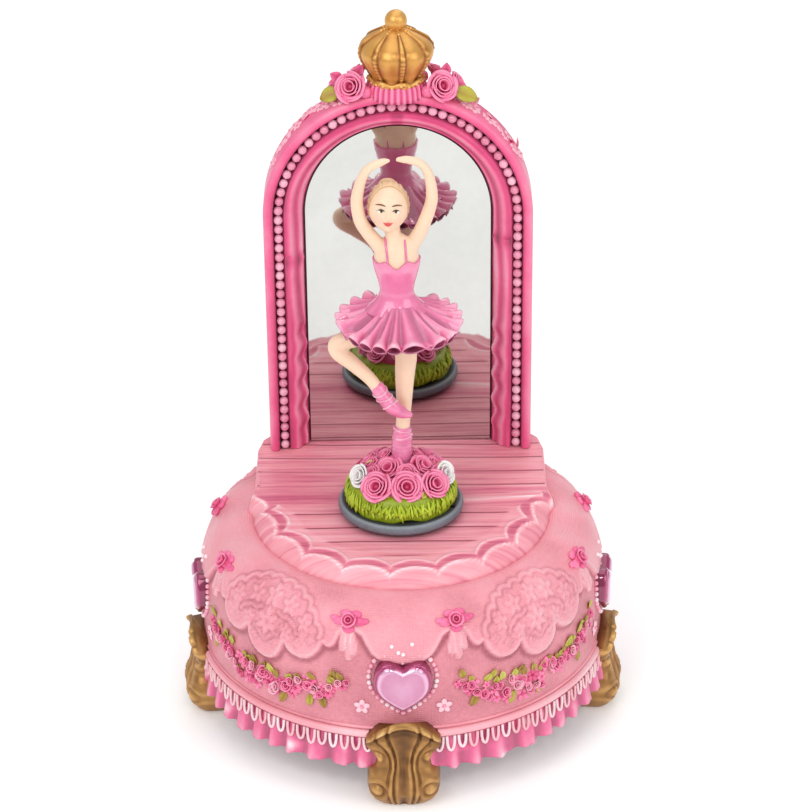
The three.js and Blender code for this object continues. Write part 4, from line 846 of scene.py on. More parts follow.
class MUSICBOX_OT_dome(bpy.types.Operator):
    """Spin the dome and press the draped cloth, lace and ribbons into it"""
    bl_idname = "music_box.dome"
    bl_label = "Draped dome"

    def execute(self, context):
        settings = context.scene.music_box_base
        relief = Relief(settings.cloth_depth)
        bm = clay()
        run_layer = bm.verts.layers.float.new("run")
        outer = [(r, z, run) for (r, z), run in zip(WALL_CURVE, WALL_RUN)]
        inner = [(40.5, 60.2, -1), (38, 57, -1), (48, 55.5, -1), (54, 47, -1), (55.2, 30, -1),
            (55.2, 12.6, -1), (58.6, 12.6, -1), (59.3, 19, -1)]
        profile = outer + inner + [outer[0]]
        chain = [bm.verts.new((0, -r, z)) for r, z, _ in profile[:-1]]
        for v, (_, _, run) in zip(chain, profile):
            v[run_layer] = run
        edges = [bm.edges.new(pair) for pair in zip(chain, chain[1:] + chain[:1])]
        bmesh.ops.spin(bm, geom=chain + edges, cent=(0, 0, 0), axis=UP, angle=TURN, steps=720, use_merge=True)
        shade = shade_of(bm)
        for v in bm.verts:
            run = v[run_layer]
            if run < 0:
                v[shade] = 0.4
                continue
            angle = math.degrees(math.atan2(v.co.x, -v.co.y))
            sway = noise.noise(v.co * 0.09)
            height, tone = relief.at(angle + 0.8 * sway,
                run + 0.5 * noise.noise(v.co * 0.12 + Vector((9, 0, 0))))
            _, normal = on_wall(angle, run)
            folds = 0.45 * ease(run, 24, 40) * ease(46 - run, 0,
                6) * math.sin(math.radians(angle) * 16 + 2 * sway)
            v.co += normal * ((height + folds * 0.6) * ease(WALL_RUN[-1] - run, 0, 2.5) * ease(run, 0, 1.2))
            # the folds' hollows take painted shade and their crests painted highlight, and the cloth darkens
            # in painted shade just under the stage's edge
            v[shade] = clamp(tone + 0.1 * sway + 0.07 * folds
                - 0.14 * ease(run, WALL_RUN[-1] - 1.5, WALL_RUN[-1]))
        uv = bm.loops.layers.uv.new("cloth")
        for f in bm.faces:
            spread_of = [math.atan2(loop.vert.co.x, -loop.vert.co.y) for loop in f.loops]
            wrap = max(spread_of) - min(spread_of) > 3
            for loop, a in zip(f.loops, spread_of):
                loop[uv].uv = ((a + (TURN if wrap and a < 0 else 0)) * 58.5 * MM,
                    max(loop.vert[run_layer], 0) * MM)
        finish_piece("draped_dome", bm, "case", "cloth", ("base_shell",))
        return {"FINISHED"}


SCALLOP = 19.2  # degrees from one point of the stage's cloth edge to the next
FIRST_VALLEY = -4.5 - 5 * SCALLOP


class MUSICBOX_OT_deck(bpy.types.Operator):
    """Loft the stage with its boards, its scalloped cloth margin and its platform under the mirror"""
    bl_idname = "music_box.deck"
    bl_label = "Stage"

    def outline(self, count):
        """The stage's edge from above: a round front that widens into the platform behind."""
        back = [(37.4, -4.0), (39.6, -0.5), (42.2, 2.0), (43, 6), (43, 18), (43, 30), (41.6, 36.4),
            (37.6, 41.2), (31, 43.3), (20, 43.5), (0, 43.5)]
        right = [(38 * math.sin(math.radians(a)), -38 * math.cos(math.radians(a)))
            for a in range(0, 84, 2)] + back
        loop = [Vector((x, y, 0)) for x, y in right] + [Vector((-x, y, 0)) for x, y in reversed(right[1:-1])]
        loop.append(loop[0])
        runs = [0.0]
        for a, b in zip(loop, loop[1:]):
            runs.append(runs[-1] + (b - a).length)
        out, k = [], 1
        for i in range(count):
            run = i / count * runs[-1]
            while runs[k] < run:
                k += 1
            out.append(loop[k - 1].lerp(loop[k], (run - runs[k - 1]) / (runs[k] - runs[k - 1])))
        return out

    def execute(self, context):
        count = 560
        edge = self.outline(count)
        normals = []
        for i in range(count):
            along = edge[(i + 3) % count] - edge[i - 3]
            normals.append(Vector((along.y, -along.x, 0)).normalized())
        flare = [5.3 * ease(p.y, 9, -4) + 0.6 for p in edge]
        bm = clay()
        board = bm.verts.layers.float.new("board")
        rings, marks = [], []
        lower = [(1.0, 49.0), (1.0, 60.7), (0.93, 61.5), (0.84, 62.3), (0.72, 63.1), (0.6, 63.75),
            (0.48, 64.2), (0.36, 64.6), (0.24, 64.85), (0.12, 65.0)]
        steps = [("out", s, z) for s, z in lower] + [("in", -0.45 * k, 65.05) for k in range(0, 19)]
        for kind, s, z in steps:
            ring = []
            for p, n, f in zip(edge, normals, flare):
                off = s * f if kind == "out" else s * mix(0.12, 1.0, ease(-p.y, 2.0, 12.0))
                angle = math.degrees(math.atan2(p.x, -p.y))
                radius = 38 + off
                drop = z if kind == "in" or s == 1.0 else mix(z, 65.0, (1 - clamp(f / 5.9)) * (1 - s))
                # two raised hems that run round the cloth in pointed scallops
                wave = abs(math.sin(math.pi * (angle - FIRST_VALLEY) / SCALLOP)) ** 0.72
                fade = clamp((100 - abs(angle)) / 8)
                line_low, line_high = 41.6 - 2.7 * wave, 38.4 - 3.5 * wave
                low, high = math.exp(-((radius - line_low) / 0.55) ** 2), math.exp(-((radius - line_high)
                    / 0.5) ** 2)
                between = ease(radius, line_high, line_high + 0.8) * ease(line_low - radius, 0, 0.8)
                margin = ease(radius, 31.5, 33.5) * ease(line_high - radius, 0, 0.6)
                lift = (0.5 * low + 0.45 * high + 0.1 * noise.noise(p * 0.15)) * fade
                outward = 0.45 * lift if kind == "out" else 0.0
                ring.append(p + n * (off + outward)
                    + Vector((0, 0, drop + lift * (0.8 if kind == "out" else 1.0))))
                # the raised hems are pearly lines; the groove between them and the foot of the outer cloth,
                # where it meets the dome, take painted shade
                tone = 0.5 + fade * (0.36 * low + 0.32 * high - 0.2 * between + 0.06 * margin)
                tone -= 0.2 * ease(61.6, drop, drop + 1.0) * (0.5 if kind == "out" else 0)
                front = ease(100 - abs(angle), 0, 6)
                marks.append((clamp(tone),
                    0.0 if kind == "out" else 1
                    - ease(radius, mix(37.5, 31.5, front), mix(38, 33.2, front))))
            rings.append(ring)
        loft(bm, rings, shade=None)
        shade = shade_of(bm)
        bm.verts.ensure_lookup_table()
        for v, (tone, boards) in zip(bm.verts, marks):
            v[shade], v[board] = tone, boards
        finish_piece("stage_deck", bm, "case", "boards")
        return {"FINISHED"}


class MUSICBOX_OT_hem(bpy.types.Operator):
    """Turn the hem roll, hang the picot loops from it and fold the ruffle under it"""
    bl_idname = "music_box.hem"
    bl_label = "Hem and ruffle"

    def execute(self, context):
        settings = context.scene.music_box_base
        bm = clay()
        roll = [(59.9 + 1.15 * math.cos(a), 22.3 + 1.2 * math.sin(a))
            for a in [k / 14 * TURN for k in range(15)]]
        lathe(bm, roll, 240, shade=0.68)
        lathe(bm, [(59.5 + 0.6 * math.cos(a), 24.3 + 0.5 * math.sin(a))
            for a in [k / 10 * TURN for k in range(11)]], 240, shade=0.5)
        bmesh.ops.remove_doubles(bm, verts=bm.verts, dist=0.01)
        shade = shade_of(bm)
        # a little tone at random, and painted shade on the roll's underside
        for v in bm.verts:
            v[shade] = clamp(v[shade] + 0.25 * noise.noise(v.co * 0.07) - 0.25 * ease(21.9 - v.co.z, 0, 0.8))
        finish_piece("hem_roll", bm, "case", "drape")

        bm = clay()
        pick = random.Random(5)
        for k in range(settings.loops):
            angle = k * 360 / settings.loops
            if any(abs((angle - a + 180) % 360 - 180) < 8.2 for a in FOOT_ANGLES.values()):
                continue
            drop, wide = pick.uniform(3.9, 4.7), pick.uniform(0.95, 1.2)
            path = []
            for t in range(9):
                a = math.pi * t / 8
                path.append(around(angle + math.degrees(-wide * math.cos(a) / 60),
                    60.75 + 0.35 * math.sin(a), 21.3 - drop * math.sin(a) ** 0.75))
            rod(bm, path, 0.45, 6, shade=pick.uniform(0.68, 1.0),
                up=Vector((path[4].x, path[4].y, 0)).normalized())
        finish_piece("picot_loops", bm, "case", "drape")

        bm = clay()
        outer = [(59.9 + 1.7 * t ** 1.3, 21.6 - 9.6 * t) for t in [k / 14 for k in range(15)]]
        inner = [(r - 1.3, z) for r, z in reversed(outer)]
        profile = outer + [(outer[-1][0] - 0.65, outer[-1][1] - 0.35)] + inner
        lathe(bm, profile + [profile[0]], 720, shade=0.5)
        bmesh.ops.remove_doubles(bm, verts=bm.verts, dist=0.01)
        for v in bm.verts:
            a = math.atan2(v.co.x, -v.co.y)
            t = clamp((21.6 - v.co.z) / 9.6)
            sway = 0.5 * math.sin(3 * a + 1) + 0.35 * math.sin(7 * a) + 0.3 * math.sin(13 * a + 2)
            wave = math.sin(settings.pleats * a + sway * 2.6)
            fold = math.copysign(abs(wave) ** 0.75,
                wave) + 0.3 * math.sin(2 * settings.pleats * a + 1.3 * sway)
            radius = math.hypot(v.co.x, v.co.y)
            grow = (radius + 0.75 * fold * t ** 0.8) / radius
            v.co.x, v.co.y = v.co.x * grow, v.co.y * grow
            v.co.z -= t * (0.3 + 0.22 * fold + 0.35 * math.sin(5 * a))
            # the pleats' crests take painted highlight and their hollows painted shade, the top under the hem
            # is in painted shade, and the scattered white dabs are pearly paint with painted highlight
            v[shade_of(bm)] = clamp(0.48 + 0.2 * fold * t ** 0.5 - 0.16 * (1 - t)
                + 0.75 * max(0, noise.noise(Vector((a * 9, t * 2, 0))) - 0.12))
        finish_piece("skirt_ruffle", bm, "case", "ruffle")
        return {"FINISHED"}


class MUSICBOX_OT_roses_on_dome(bpy.types.Operator):
    """Set the ribbon roses, garlands, small flowers and heart surrounds on the dome"""
    bl_idname = "music_box.roses_on_dome"
    bl_label = "Garlands and ribbon roses"

    def execute(self, context):
        pick = random.Random(11)
        petals, pale, leaves = clay(), clay(), clay()
        for quarter in QUARTERS:
            for side in (-1, 1):
                at, normal = on_wall(lay(quarter + side * 16.8), 33.6, 1.25)
                side_way = Vector((0, 0, 1)).cross(normal).normalized()
                for k, (dx, dy, size) in enumerate([(0, 0, 1.5), (-2.5, -0.2, 1.25), (2.5, 0.1, 1.25),
                        (-1.2, 1.7, 1.1), (1.4, 1.7, 1.1), (0.1, -1.9, 1.2), (-3.9, 0.4, 0.8),
                        (3.9, 0.4, 0.8)]):
                    high = normal.cross(side_way)
                    ball(petals, at + side_way * dx * 1.15 + high * dy * 1.2, size * 1.4, 12, 8,
                        clamp(0.5 + 0.1 * math.sin(k * 2.4)), (1.1, 0.75, 0.5), facing(normal))
                rose(petals, at + normal * 0.3, normal, 2.7, quarter + side, 2, 5)
                # small white flowers at the foot of each heart
                at, normal = on_wall(lay(quarter + side * 12.2), 7.8, 0.25)
                blossom(pale, at, normal, 2.4, 5, 0.78, 0.3, 0.3)
            # a garland hangs under each lace medallion
            middle = quarter + 45
            for k in range(64):
                d = mix(-28.5, 28.5, k / 63) + pick.uniform(-0.7, 0.7)
                run = 8.6 + 6.0 * (abs(d) / 28) ** 2.4 + (0.6 if d > 0 else -0.6)
                spread_of = mix(3.2, 0.8, (abs(d) / 28.5) ** 3)
                at, normal = on_wall(lay(middle + d), run + pick.uniform(-spread_of, spread_of),
                    pick.uniform(0.1, 0.5))
                size = pick.uniform(1.5, 2.3) * mix(1, 0.7, abs(d) / 28.5)
                lean = (normal + Vector((pick.uniform(-0.3, 0.3), pick.uniform(-0.3, 0.3),
                    pick.uniform(-0.1, 0.5)))).normalized()
                if k % 2:
                    rose(petals if pick.random() < 0.7 else pale, at, lean, size, k + quarter, 2, 4)
                else:
                    blossom(petals, at, lean, size * 1.1, 4 + k % 3, pick.uniform(0.35, 0.75),
                        pick.uniform(0, 2), 0.5)
            for k in range(26):
                d = mix(-27, 27, k / 25) + pick.uniform(-1.4, 1.4)
                run = 8.6 + 6.0 * (abs(d) / 28) ** 2.4
                above = pick.random() < 0.65
                at, normal = on_wall(lay(middle + d),
                    run + (pick.uniform(2.2, 4.2) if above else -pick.uniform(2.4, 3.6)), 0.2)
                side_way = Vector((0, 0, 1)).cross(normal).normalized()
                way = side_way * pick.uniform(-0.9,
                    0.9) + normal.cross(side_way) * (1 if above else -1) + normal * 0.25
                leaf(leaves, at - way.normalized() * 1.2, way, normal, pick.uniform(3.0, 4.2),
                    pick.uniform(1.8, 2.4), -0.05, pick.uniform(0.3, 0.8))
            # three tiny pearls over each heart
            for d, run in ((-3.2, 27.6), (0.2, 25.4), (2.9, 28.2), (-1.2, 25.9)):
                at, normal = on_wall(lay(quarter + d), run, 1.2)
                ball(pale, at, 0.62, 10, 6, 0.95)
        finish_piece("dome_roses", petals, "case", "rose")
        finish_piece("dome_pale_flowers", pale, "case", "rose_pale")
        finish_piece("dome_leaves", leaves, "case", "leaf")
        return {"FINISHED"}


def heart_line(count, grow=1.0):
    """A heart's outline, 16 wide, about its own middle."""
    out = []
    for k in range(count):
        t = k / count * TURN
        x = math.copysign(8 * abs(math.sin(t)) ** 1.7, math.sin(t))
        y = (13 * math.cos(t) - 2.2 * math.cos(2 * t) - 1.6 * math.cos(3 * t)
            - 0.8 * math.cos(4 * t)) * 0.6 + 1.0
        out.append((x * grow, y * grow))
    return out


class MUSICBOX_OT_hearts(bpy.types.Operator):
    """Cut the four heart gems and ring each with seed pearls"""
    bl_idname = "music_box.hearts"
    bl_label = "Heart gems"

    def execute(self, context):
        pearls = clay()
        for place, angle in HEARTS.items():
            bm = clay()
            # the tones give the gem's foot painted shade, a ring of painted highlight round the bevel that is
            # brighter on part of it, and the table its lilac
            steps = [(1.04, 58.2, 0.05), (1.04, 60.8, 0.1), (1.02, 61.3, 0.2), (0.98, 61.6, 0.26),
                (0.95, 61.6, 0.1), (0.92, 61.8, 0.3), (0.86, 62.3, 0.75), (0.8, 62.55, 0.62),
                (0.74, 62.6, 0.46), (0.45, 62.65, 0.5), (0.2, 62.66, 0.55)]
            a = math.radians(angle)
            right, out = Vector((math.cos(a), math.sin(a), 0)), Vector((math.sin(a), -math.cos(a), 0))
            rings, tones = [], []
            for grow, radius, tone in steps:
                rings.append([right * x + UP * (y + 39) + out * radius for x, y in heart_line(72, grow)])
                tones += [clamp(tone + 0.25 * max(0, math.sin(k / 72 * TURN * 2 + 0.8))
                    * (0.5 if 0.75 < grow < 0.9 else 0.0)) for k in range(72)]
            loft(bm, rings, shade=None)
            bm.verts.ensure_lookup_table()
            for v, tone in zip(bm.verts, tones):
                v[shade_of(bm)] = tone
            piece = finish_piece("heart_gem_cut_" + place, bm, "case", "gem", ("heart_gem_" + place,))
            smooth_by_angle(piece, 40)
            line = heart_line(240, 1.2)
            runs = [0.0]
            for p, q in zip(line, line[1:] + line[:1]):
                runs.append(runs[-1] + math.dist(p, q))
            for k in range(34):
                run = k / 34 * runs[-1]
                i = max(j for j in range(240) if runs[j] <= run)
                x, y = line[i]
                at, _ = on_wall(angle + math.degrees(x / 59.3), y + 39 - 23.4, 0.35)
                ball(pearls, at, 0.72, 8, 6, 0.75 + 0.2 * math.sin(k * 5.1))
        finish_piece("heart_pearls", pearls, "case", "rose_pale")
        return {"FINISHED"}


FOOT_WIDTH = [(0, 7.2), (1.5, 8.8), (4, 10.1), (6, 10.5), (9, 10.4), (11.5, 9.6), (13.5, 8.2), (16, 7.7),
    (17.5, 7.8), (20, 8.6), (22, 9.8), (24, 10.6), (26, 10.7), (29.5, 10.6)]
FOOT_FRONT = [(0, 62.6), (2, 64.4), (5, 65.6), (8, 65.8), (11, 65.0), (14, 64.0), (18, 63.3), (22, 63.2),
    (26, 63.6), (28.5, 64.0), (29.5, 63.4)]


class MUSICBOX_OT_feet(bpy.types.Operator):
    """Carve the four leaf-shaped gold feet"""
    bl_idname = "music_box.feet"
    bl_label = "Feet"

    def carve(self, u, z, t):
        """Relief of the foot's face at u across it, -1 to 1, and height z."""
        q, fan = abs(u), ease(t, 0.42, 0.92)
        first, second = mix(0.27, 0.44, fan), mix(0.45, 0.76, fan)

        def line(at, wide):
            return math.exp(-((q - at) / wide) ** 2)
        cut = -0.9 * line(0, mix(0.13, 0.34, fan)) + 0.5 * line(first - 0.075,
            0.05) * (1 - 0.5 * fan) - 1.0 * line(first, 0.035)
        cut += 0.45 * line((first + second) / 2, 0.06) - 0.8 * line(second,
            0.035) - 0.35 * fan * line(mix(first, second, 0.5), 0.03)
        rho = math.hypot((q - 0.73) * 9.5, z - 6.4)
        cut += (0.9 * math.exp(-(rho / 1.5) ** 2) - 0.7 * math.exp(-((rho - 2.0) / 0.45) ** 2)
            + 0.5 * math.exp(-((rho - 2.9) / 0.5) ** 2)) * (1 - ease(t, 0.3, 0.45))
        rho = math.hypot((q - 0.92) * 9, z - 16.4)
        cut += 0.9 * math.exp(-(rho / 1.4) ** 2) - 0.5 * math.exp(-((rho - 2.0) / 0.4) ** 2)
        rho = math.hypot(u * 9.5, z - 5.0)
        cut += 0.7 * math.exp(-(rho / 0.9) ** 2)
        return cut - 0.6 * math.exp(-((t - 0.86) / 0.035) ** 2) + 0.9 * ease(t, 0.9,
            0.94) * (1 - 0.8 * ease(t, 0.975, 1.0))

    def execute(self, context):
        for place, angle in FOOT_ANGLES.items():
            bm = clay()
            a = math.radians(angle)
            right, out = Vector((math.cos(a), math.sin(a), 0)), Vector((math.sin(a), -math.cos(a), 0))
            rings, tones = [], []
            heights = [0.0, 0.25] + [0.7 + 28.3 * k / 58 for k in range(59)] + [29.3, 29.5]
            for z in heights:
                t = z / 29.5
                ring = []
                for k in range(160):
                    theta = k / 160 * TURN
                    c, s = math.cos(theta), math.sin(theta)
                    u = math.copysign(abs(c) ** 0.82, c)
                    top = 28.6 - 6.0 * abs(u) ** 2.1 - 0.35 * math.exp(-((abs(u) - 0.44)
                        / 0.06) ** 2) - 0.4 * math.exp(-((abs(u) - 0.76) / 0.06) ** 2)
                    high = z * mix(1.0, top / 29.5, ease(t, 0.3, 1.0))
                    wide = table(FOOT_WIDTH, z)
                    front, back = table(FOOT_FRONT, z), mix(55.0, 59.0, ease(z, 8, 20))
                    if s >= 0:
                        cut = self.carve(u, high, t) if 0.7 <= z <= 29 else self.carve(u, high, t) * 0.4
                        radius = back + (front - back) * s ** 0.32 + cut * min(1, s * 2.2)
                    else:
                        cut, radius = -0.6, back - 0.3 * abs(s)
                    radius = min(radius, 66.2)
                    ring.append(right * (u * wide) + out * radius + UP * high)
                    # the carving is darker in its grooves and lighter on its raised parts, painted shade and
                    # highlight, and the back against the case is in painted shade
                    tones.append(clamp(0.46 + 0.24 * cut
                        + 0.12 * noise.noise(Vector((u * 4, z * 0.4, angle)))))
                rings.append(ring)
            loft(bm, rings, shade=None)
            bm.verts.ensure_lookup_table()
            for v, tone in zip(bm.verts, tones):
                v[shade_of(bm)] = tone
            finish_piece("leaf_foot_" + place, bm, "case", "gold", ("foot_" + place,))
        return {"FINISHED"}


ARCH_Z = 142.0


def arch_path(n, y, count, low=65.3, skip=0.0):
    """Points up one leg, over the arch and down the other, at n from the middle line."""
    length = 2 * (ARCH_Z - low) + math.pi * n
    out = []
    for i in range(count):
        run = mix(skip, length - skip, i / (count - 1))
        if run < ARCH_Z - low:
            out.append(Vector((-n, y, low + run)))
        elif run > length - (ARCH_Z - low):
            out.append(Vector((n, y, low + length - run)))
        else:
            a = math.pi - (run - (ARCH_Z - low)) / n
            out.append(Vector((n * math.cos(a), y, ARCH_Z + n * math.sin(a))))
    return out


class MUSICBOX_OT_arch(bpy.types.Operator):
    """Run the frame's moulding up one leg, over the arch and down the other, with the curtain inside it"""
    bl_idname = "music_box.arch"
    bl_label = "Mirror frame"

    def execute(self, context):
        wide = context.scene.music_box_arch.half_width / MM
        # the third number is the tone: the channel behind the beads and the edge beside the mirror are dark
        # with painted shade
        section = [(0, 40.2, 0.4), (0, 38, 0.45), (0, 34, 0.5), (0, 31.4, 0.55), (0.15, 30.1, 0.6),
            (0.7, 29.25, 0.6), (1.4, 29.0, 0.55), (2.2, 29.0, 0.5), (2.7, 29.3, 0.42), (3.0, 30.0, 0.2),
            (3.15, 31.0, 0.05), (3.6, 31.6, 0.05), (4.5, 31.8, 0.08), (5.4, 31.6, 0.08), (5.9, 31.0, 0.15),
            (6.2, 30.3, 0.3)]
        curtain = [(6.5 + 0.3 * k, 30.0 + 0.055 * k * k * 0.3, None) for k in range(17)]
        section += curtain + [(11.6, 34.2, 0.15), (11.9, 35.4, 0.02), (11.9, 40.2, 0.3)]
        rings, tones = [], []
        legs, top = 60, 84
        stations = [("left", k / legs) for k in range(legs)] + [("over", k / top)
            for k in range(top + 1)] + [("right", 1 - (k + 1) / legs) for k in range(legs)]
        for part, t in stations:
            ring = []
            for depth, y, tone in section:
                if part == "over":
                    a, along = math.pi * (1 - t), ARCH_Z + 40 * math.sin(math.pi * t)
                    dx, dz, base_z = math.cos(a), math.sin(a), ARCH_Z
                else:
                    dx, dz, base_z = (-1 if part == "left" else 1), 0.0, mix(65.3, ARCH_Z, t)
                    along = base_z
                n = wide - depth
                # the curtain's soft folds, gathered by a tie at about two thirds of its height
                if tone is None:
                    k = (depth - 6.5) / 4.8
                    side = 1 if dx > 0 else -1
                    tie = math.exp(-((along - (134 if side > 0 else 128)) / 2.0) ** 2)
                    cascade = ease(112, along, along + 10) * ease(along, 66, 74)
                    slow = 1.1 * math.sin(along * 0.06 + side) + 0.5 * math.sin(along * 0.17)
                    fold = math.sin(k * 11 + slow) * (0.55 + 0.45 * k)
                    y = y + 0.42 * fold * (1 - 0.6 * tie) + 0.45 * tie * math.sin((along - 131)
                        * 2.6) + 0.5 * tie
                    n += 0.75 * k * cascade * math.sin(along * 0.75 + 0.9 * side) - 0.5 * tie * k
                    # the curtain's fold hollows, the tie and the edge beside the moulding take painted shade,
                    # and a line at the very top is darker
                    tone = clamp(0.54 - 0.2 * fold * (0.7 + 0.5 * k) - 0.2 * tie
                        - 0.16 * ease(0.14 - k, 0, 0.14))
                    if part == "over" and abs(t - 0.5) < 0.012:
                        tone -= 0.2
                ring.append(Vector((dx * n, y, base_z + dz * n)))
                tones.append(tone)
            rings.append(ring)
        bm = clay()
        loft(bm, rings, shade=None)
        bm.verts.ensure_lookup_table()
        for v, tone in zip(bm.verts, tones):
            v[shade_of(bm)] = clamp(tone + 0.1 * noise.noise(v.co * 0.12))
        # the closed back of the niche
        panel = [Vector((x.x, 0, x.z)) for x in arch_path(wide - 11.4, 0, 96)]
        loft(bm, [[Vector((p.x, y, p.z)) for p in panel] for y in (37.4, 38.6, 40.2)], shade=0.4)
        piece = finish_piece("mirror_arch", bm, "case", "frame", ("mirror_frame",))
        smooth_by_angle(piece, 50)

        # lace flowers pressed on the outer side of the arch, thickest near its shoulders
        bm = clay()
        pick = random.Random(3)
        for side in (-1, 1):
            for k in range(22):
                a = math.radians(mix(24, 66, k / 21) + pick.uniform(-1, 1))
                normal = Vector((side * math.cos(a), 0, math.sin(a)))
                at = Vector((0, pick.uniform(32.0, 38.6), ARCH_Z)) + normal * (wide + 0.1)
                if k % 3 == 2:
                    leaf(bm, at, Vector((pick.uniform(-1, 1), pick.uniform(-1, 1), pick.uniform(-1, 1))),
                        normal, 3.6, 1.8, 0.0, 0.6)
                else:
                    blossom(bm, at, normal, pick.uniform(1.5, 2.5), 5, 0.68, pick.uniform(0, 1), 0.4)
        finish_piece("arch_lace", bm, "case", "rose_pale")
        return {"FINISHED"}


class MUSICBOX_OT_beads(bpy.types.Operator):
    """String the beads round the arch"""
    bl_idname = "music_box.beads"
    bl_label = "Beads"

    def execute(self, context):
        arch = context.scene.music_box_arch
        n = arch.half_width / MM - 4.5
        bm = clay()
        pick = random.Random(8)
        for at in arch_path(n, 30.7, arch.bead_count, 65.3, 1.5):
            ball(bm, at, arch.bead * pick.uniform(0.97, 1.03), 14, 10, pick.uniform(0.35, 0.7))
        finish_piece("arch_beads", bm, "case", "pearl")
        bm = clay()
        # a dark rod behind the beads, painted shade in the channel between them
        rod(bm, arch_path(n, 31.2, 120), 0.7, 8, up=Vector((0, 1, 0)), shade=0.1)
        finish_piece("bead_channel_shade", bm, "case", "frame")
        return {"FINISHED"}


class MUSICBOX_OT_crown(bpy.types.Operator):
    """Turn the crown with its lobes, beaded ribs, rim and ball, and the pleated collar under it"""
    bl_idname = "music_box.crown"
    bl_label = "Crown"

    def execute(self, context):
        y = 34.5
        bm = clay()
        points = [(0.0, 200.2), (2.6, 199.6), (4.6, 198.6), (7.0, 197.3), (9.2, 195.8), (10.3, 194.1),
            (10.5, 192.6), (10.0, 190.8), (9.0, 188.8), (7.9, 187.0), (7.3, 185.8), (7.4, 185.0)]
        profile = [(p.x, p.y) for p in spline([(r, z, 0) for r, z in points], 46)]
        profile[0] = (0.0, 200.2)
        lathe(bm, profile + [(6.0, 184.2), (0.0, 184.2)], 192, (0, y), shade=0.5)
        shade = shade_of(bm)
        for v in bm.verts:
            d = Vector((v.co.x, v.co.y - y, 0))
            radius = d.length
            if radius < 0.5 or v.co.z < 185.1:
                continue
            a = math.atan2(d.x, -d.y) + math.radians(12)
            lobe = abs(math.cos(4 * a))
            k = ease(radius, 2, 7)
            puff = (0.75 * lobe ** 0.8 - 0.45) * k
            rib = math.exp(-((1 - abs(math.sin(4 * a))) / 0.045) ** 2) if lobe < 0.45 else 0
            beads = 0.5 + 0.5 * math.sin(v.co.z * 4.4 + radius * 2.0)
            v.co += d.normalized() * (puff + rib * (0.75 + 0.35 * beads)) + UP * rib * 0.25 * ease(v.co.z,
                194, 197)
            edge = math.exp(-((lobe - 0.32) / 0.12) ** 2)
            # the lobes' middles and the beaded ribs are lighter, in painted highlight, and the lobes' edges
            # and the crown's foot darker, in painted shade
            v[shade] = clamp(0.46 + 0.2 * (lobe - 0.6) + rib * (0.02 + 0.3 * beads) - 0.24 * edge * k
                - 0.2 * ease(187.5, v.co.z, v.co.z + 2.5))
        # the rope's lower strands are darker, in painted shade
        for k in range(3):  # the rope rim, a little wavy
            path = []
            for i in range(96):
                a = i / 96 * 360
                path.append(around(a, 7.75 - 0.35 * k + 0.25 * math.sin(math.radians(a) * 8),
                    184.9 - 0.55 * k + 0.4 * math.sin(math.radians(a) * 8 + k * 1.4), y))
            rod(bm, path, 0.62, 8, shade=0.6 - 0.12 * k, joined=True)
        for i in range(40):
            a = i * 9
            ball(bm, around(a, 8.1 + 0.25 * math.sin(math.radians(a) * 8),
                184.6 + 0.4 * math.sin(math.radians(a) * 8), y), 0.5, 8, 6, 0.75 if i % 2 else 0.5)
        ball(bm, (0, y, 201.75), 3.2, 36, 24, 0.56)
        for i in range(8):
            a = i * 45 - 12 + 22.5
            for k in range(3):
                ball(bm, around(a, 2.4 + 0.9 * k, 199.7 - 0.35 * k, y), 0.5, 8, 6, 0.7)
        finish_piece("crown", bm, "case", "crown", ("crown_finial",))

        bm = clay()
        lathe(bm, [(0.0, 184.6), (7.4, 184.6), (7.9, 184.2), (8.3, 183.2), (8.5, 182.2), (8.6, 181.0),
            (8.8, 179.6), (0.0, 179.6)], 240, (0, y))
        for v in bm.verts:
            d = Vector((v.co.x, v.co.y - y, 0))
            if d.length > 1:
                pleat = math.sin(30 * math.atan2(d.x, -d.y))
                v.co += d.normalized() * 0.22 * pleat
                v.co.z += 0.3 * math.sin(15 * math.atan2(d.x, -d.y)) * ease(v.co.z, 183, 184.2)
                # the pleats' crests take painted highlight and their hollows painted shade
                v[shade_of(bm)] = clamp(0.5 + 0.24 * pleat)
        finish_piece("crown_collar", bm, "case", "rose")
        return {"FINISHED"}


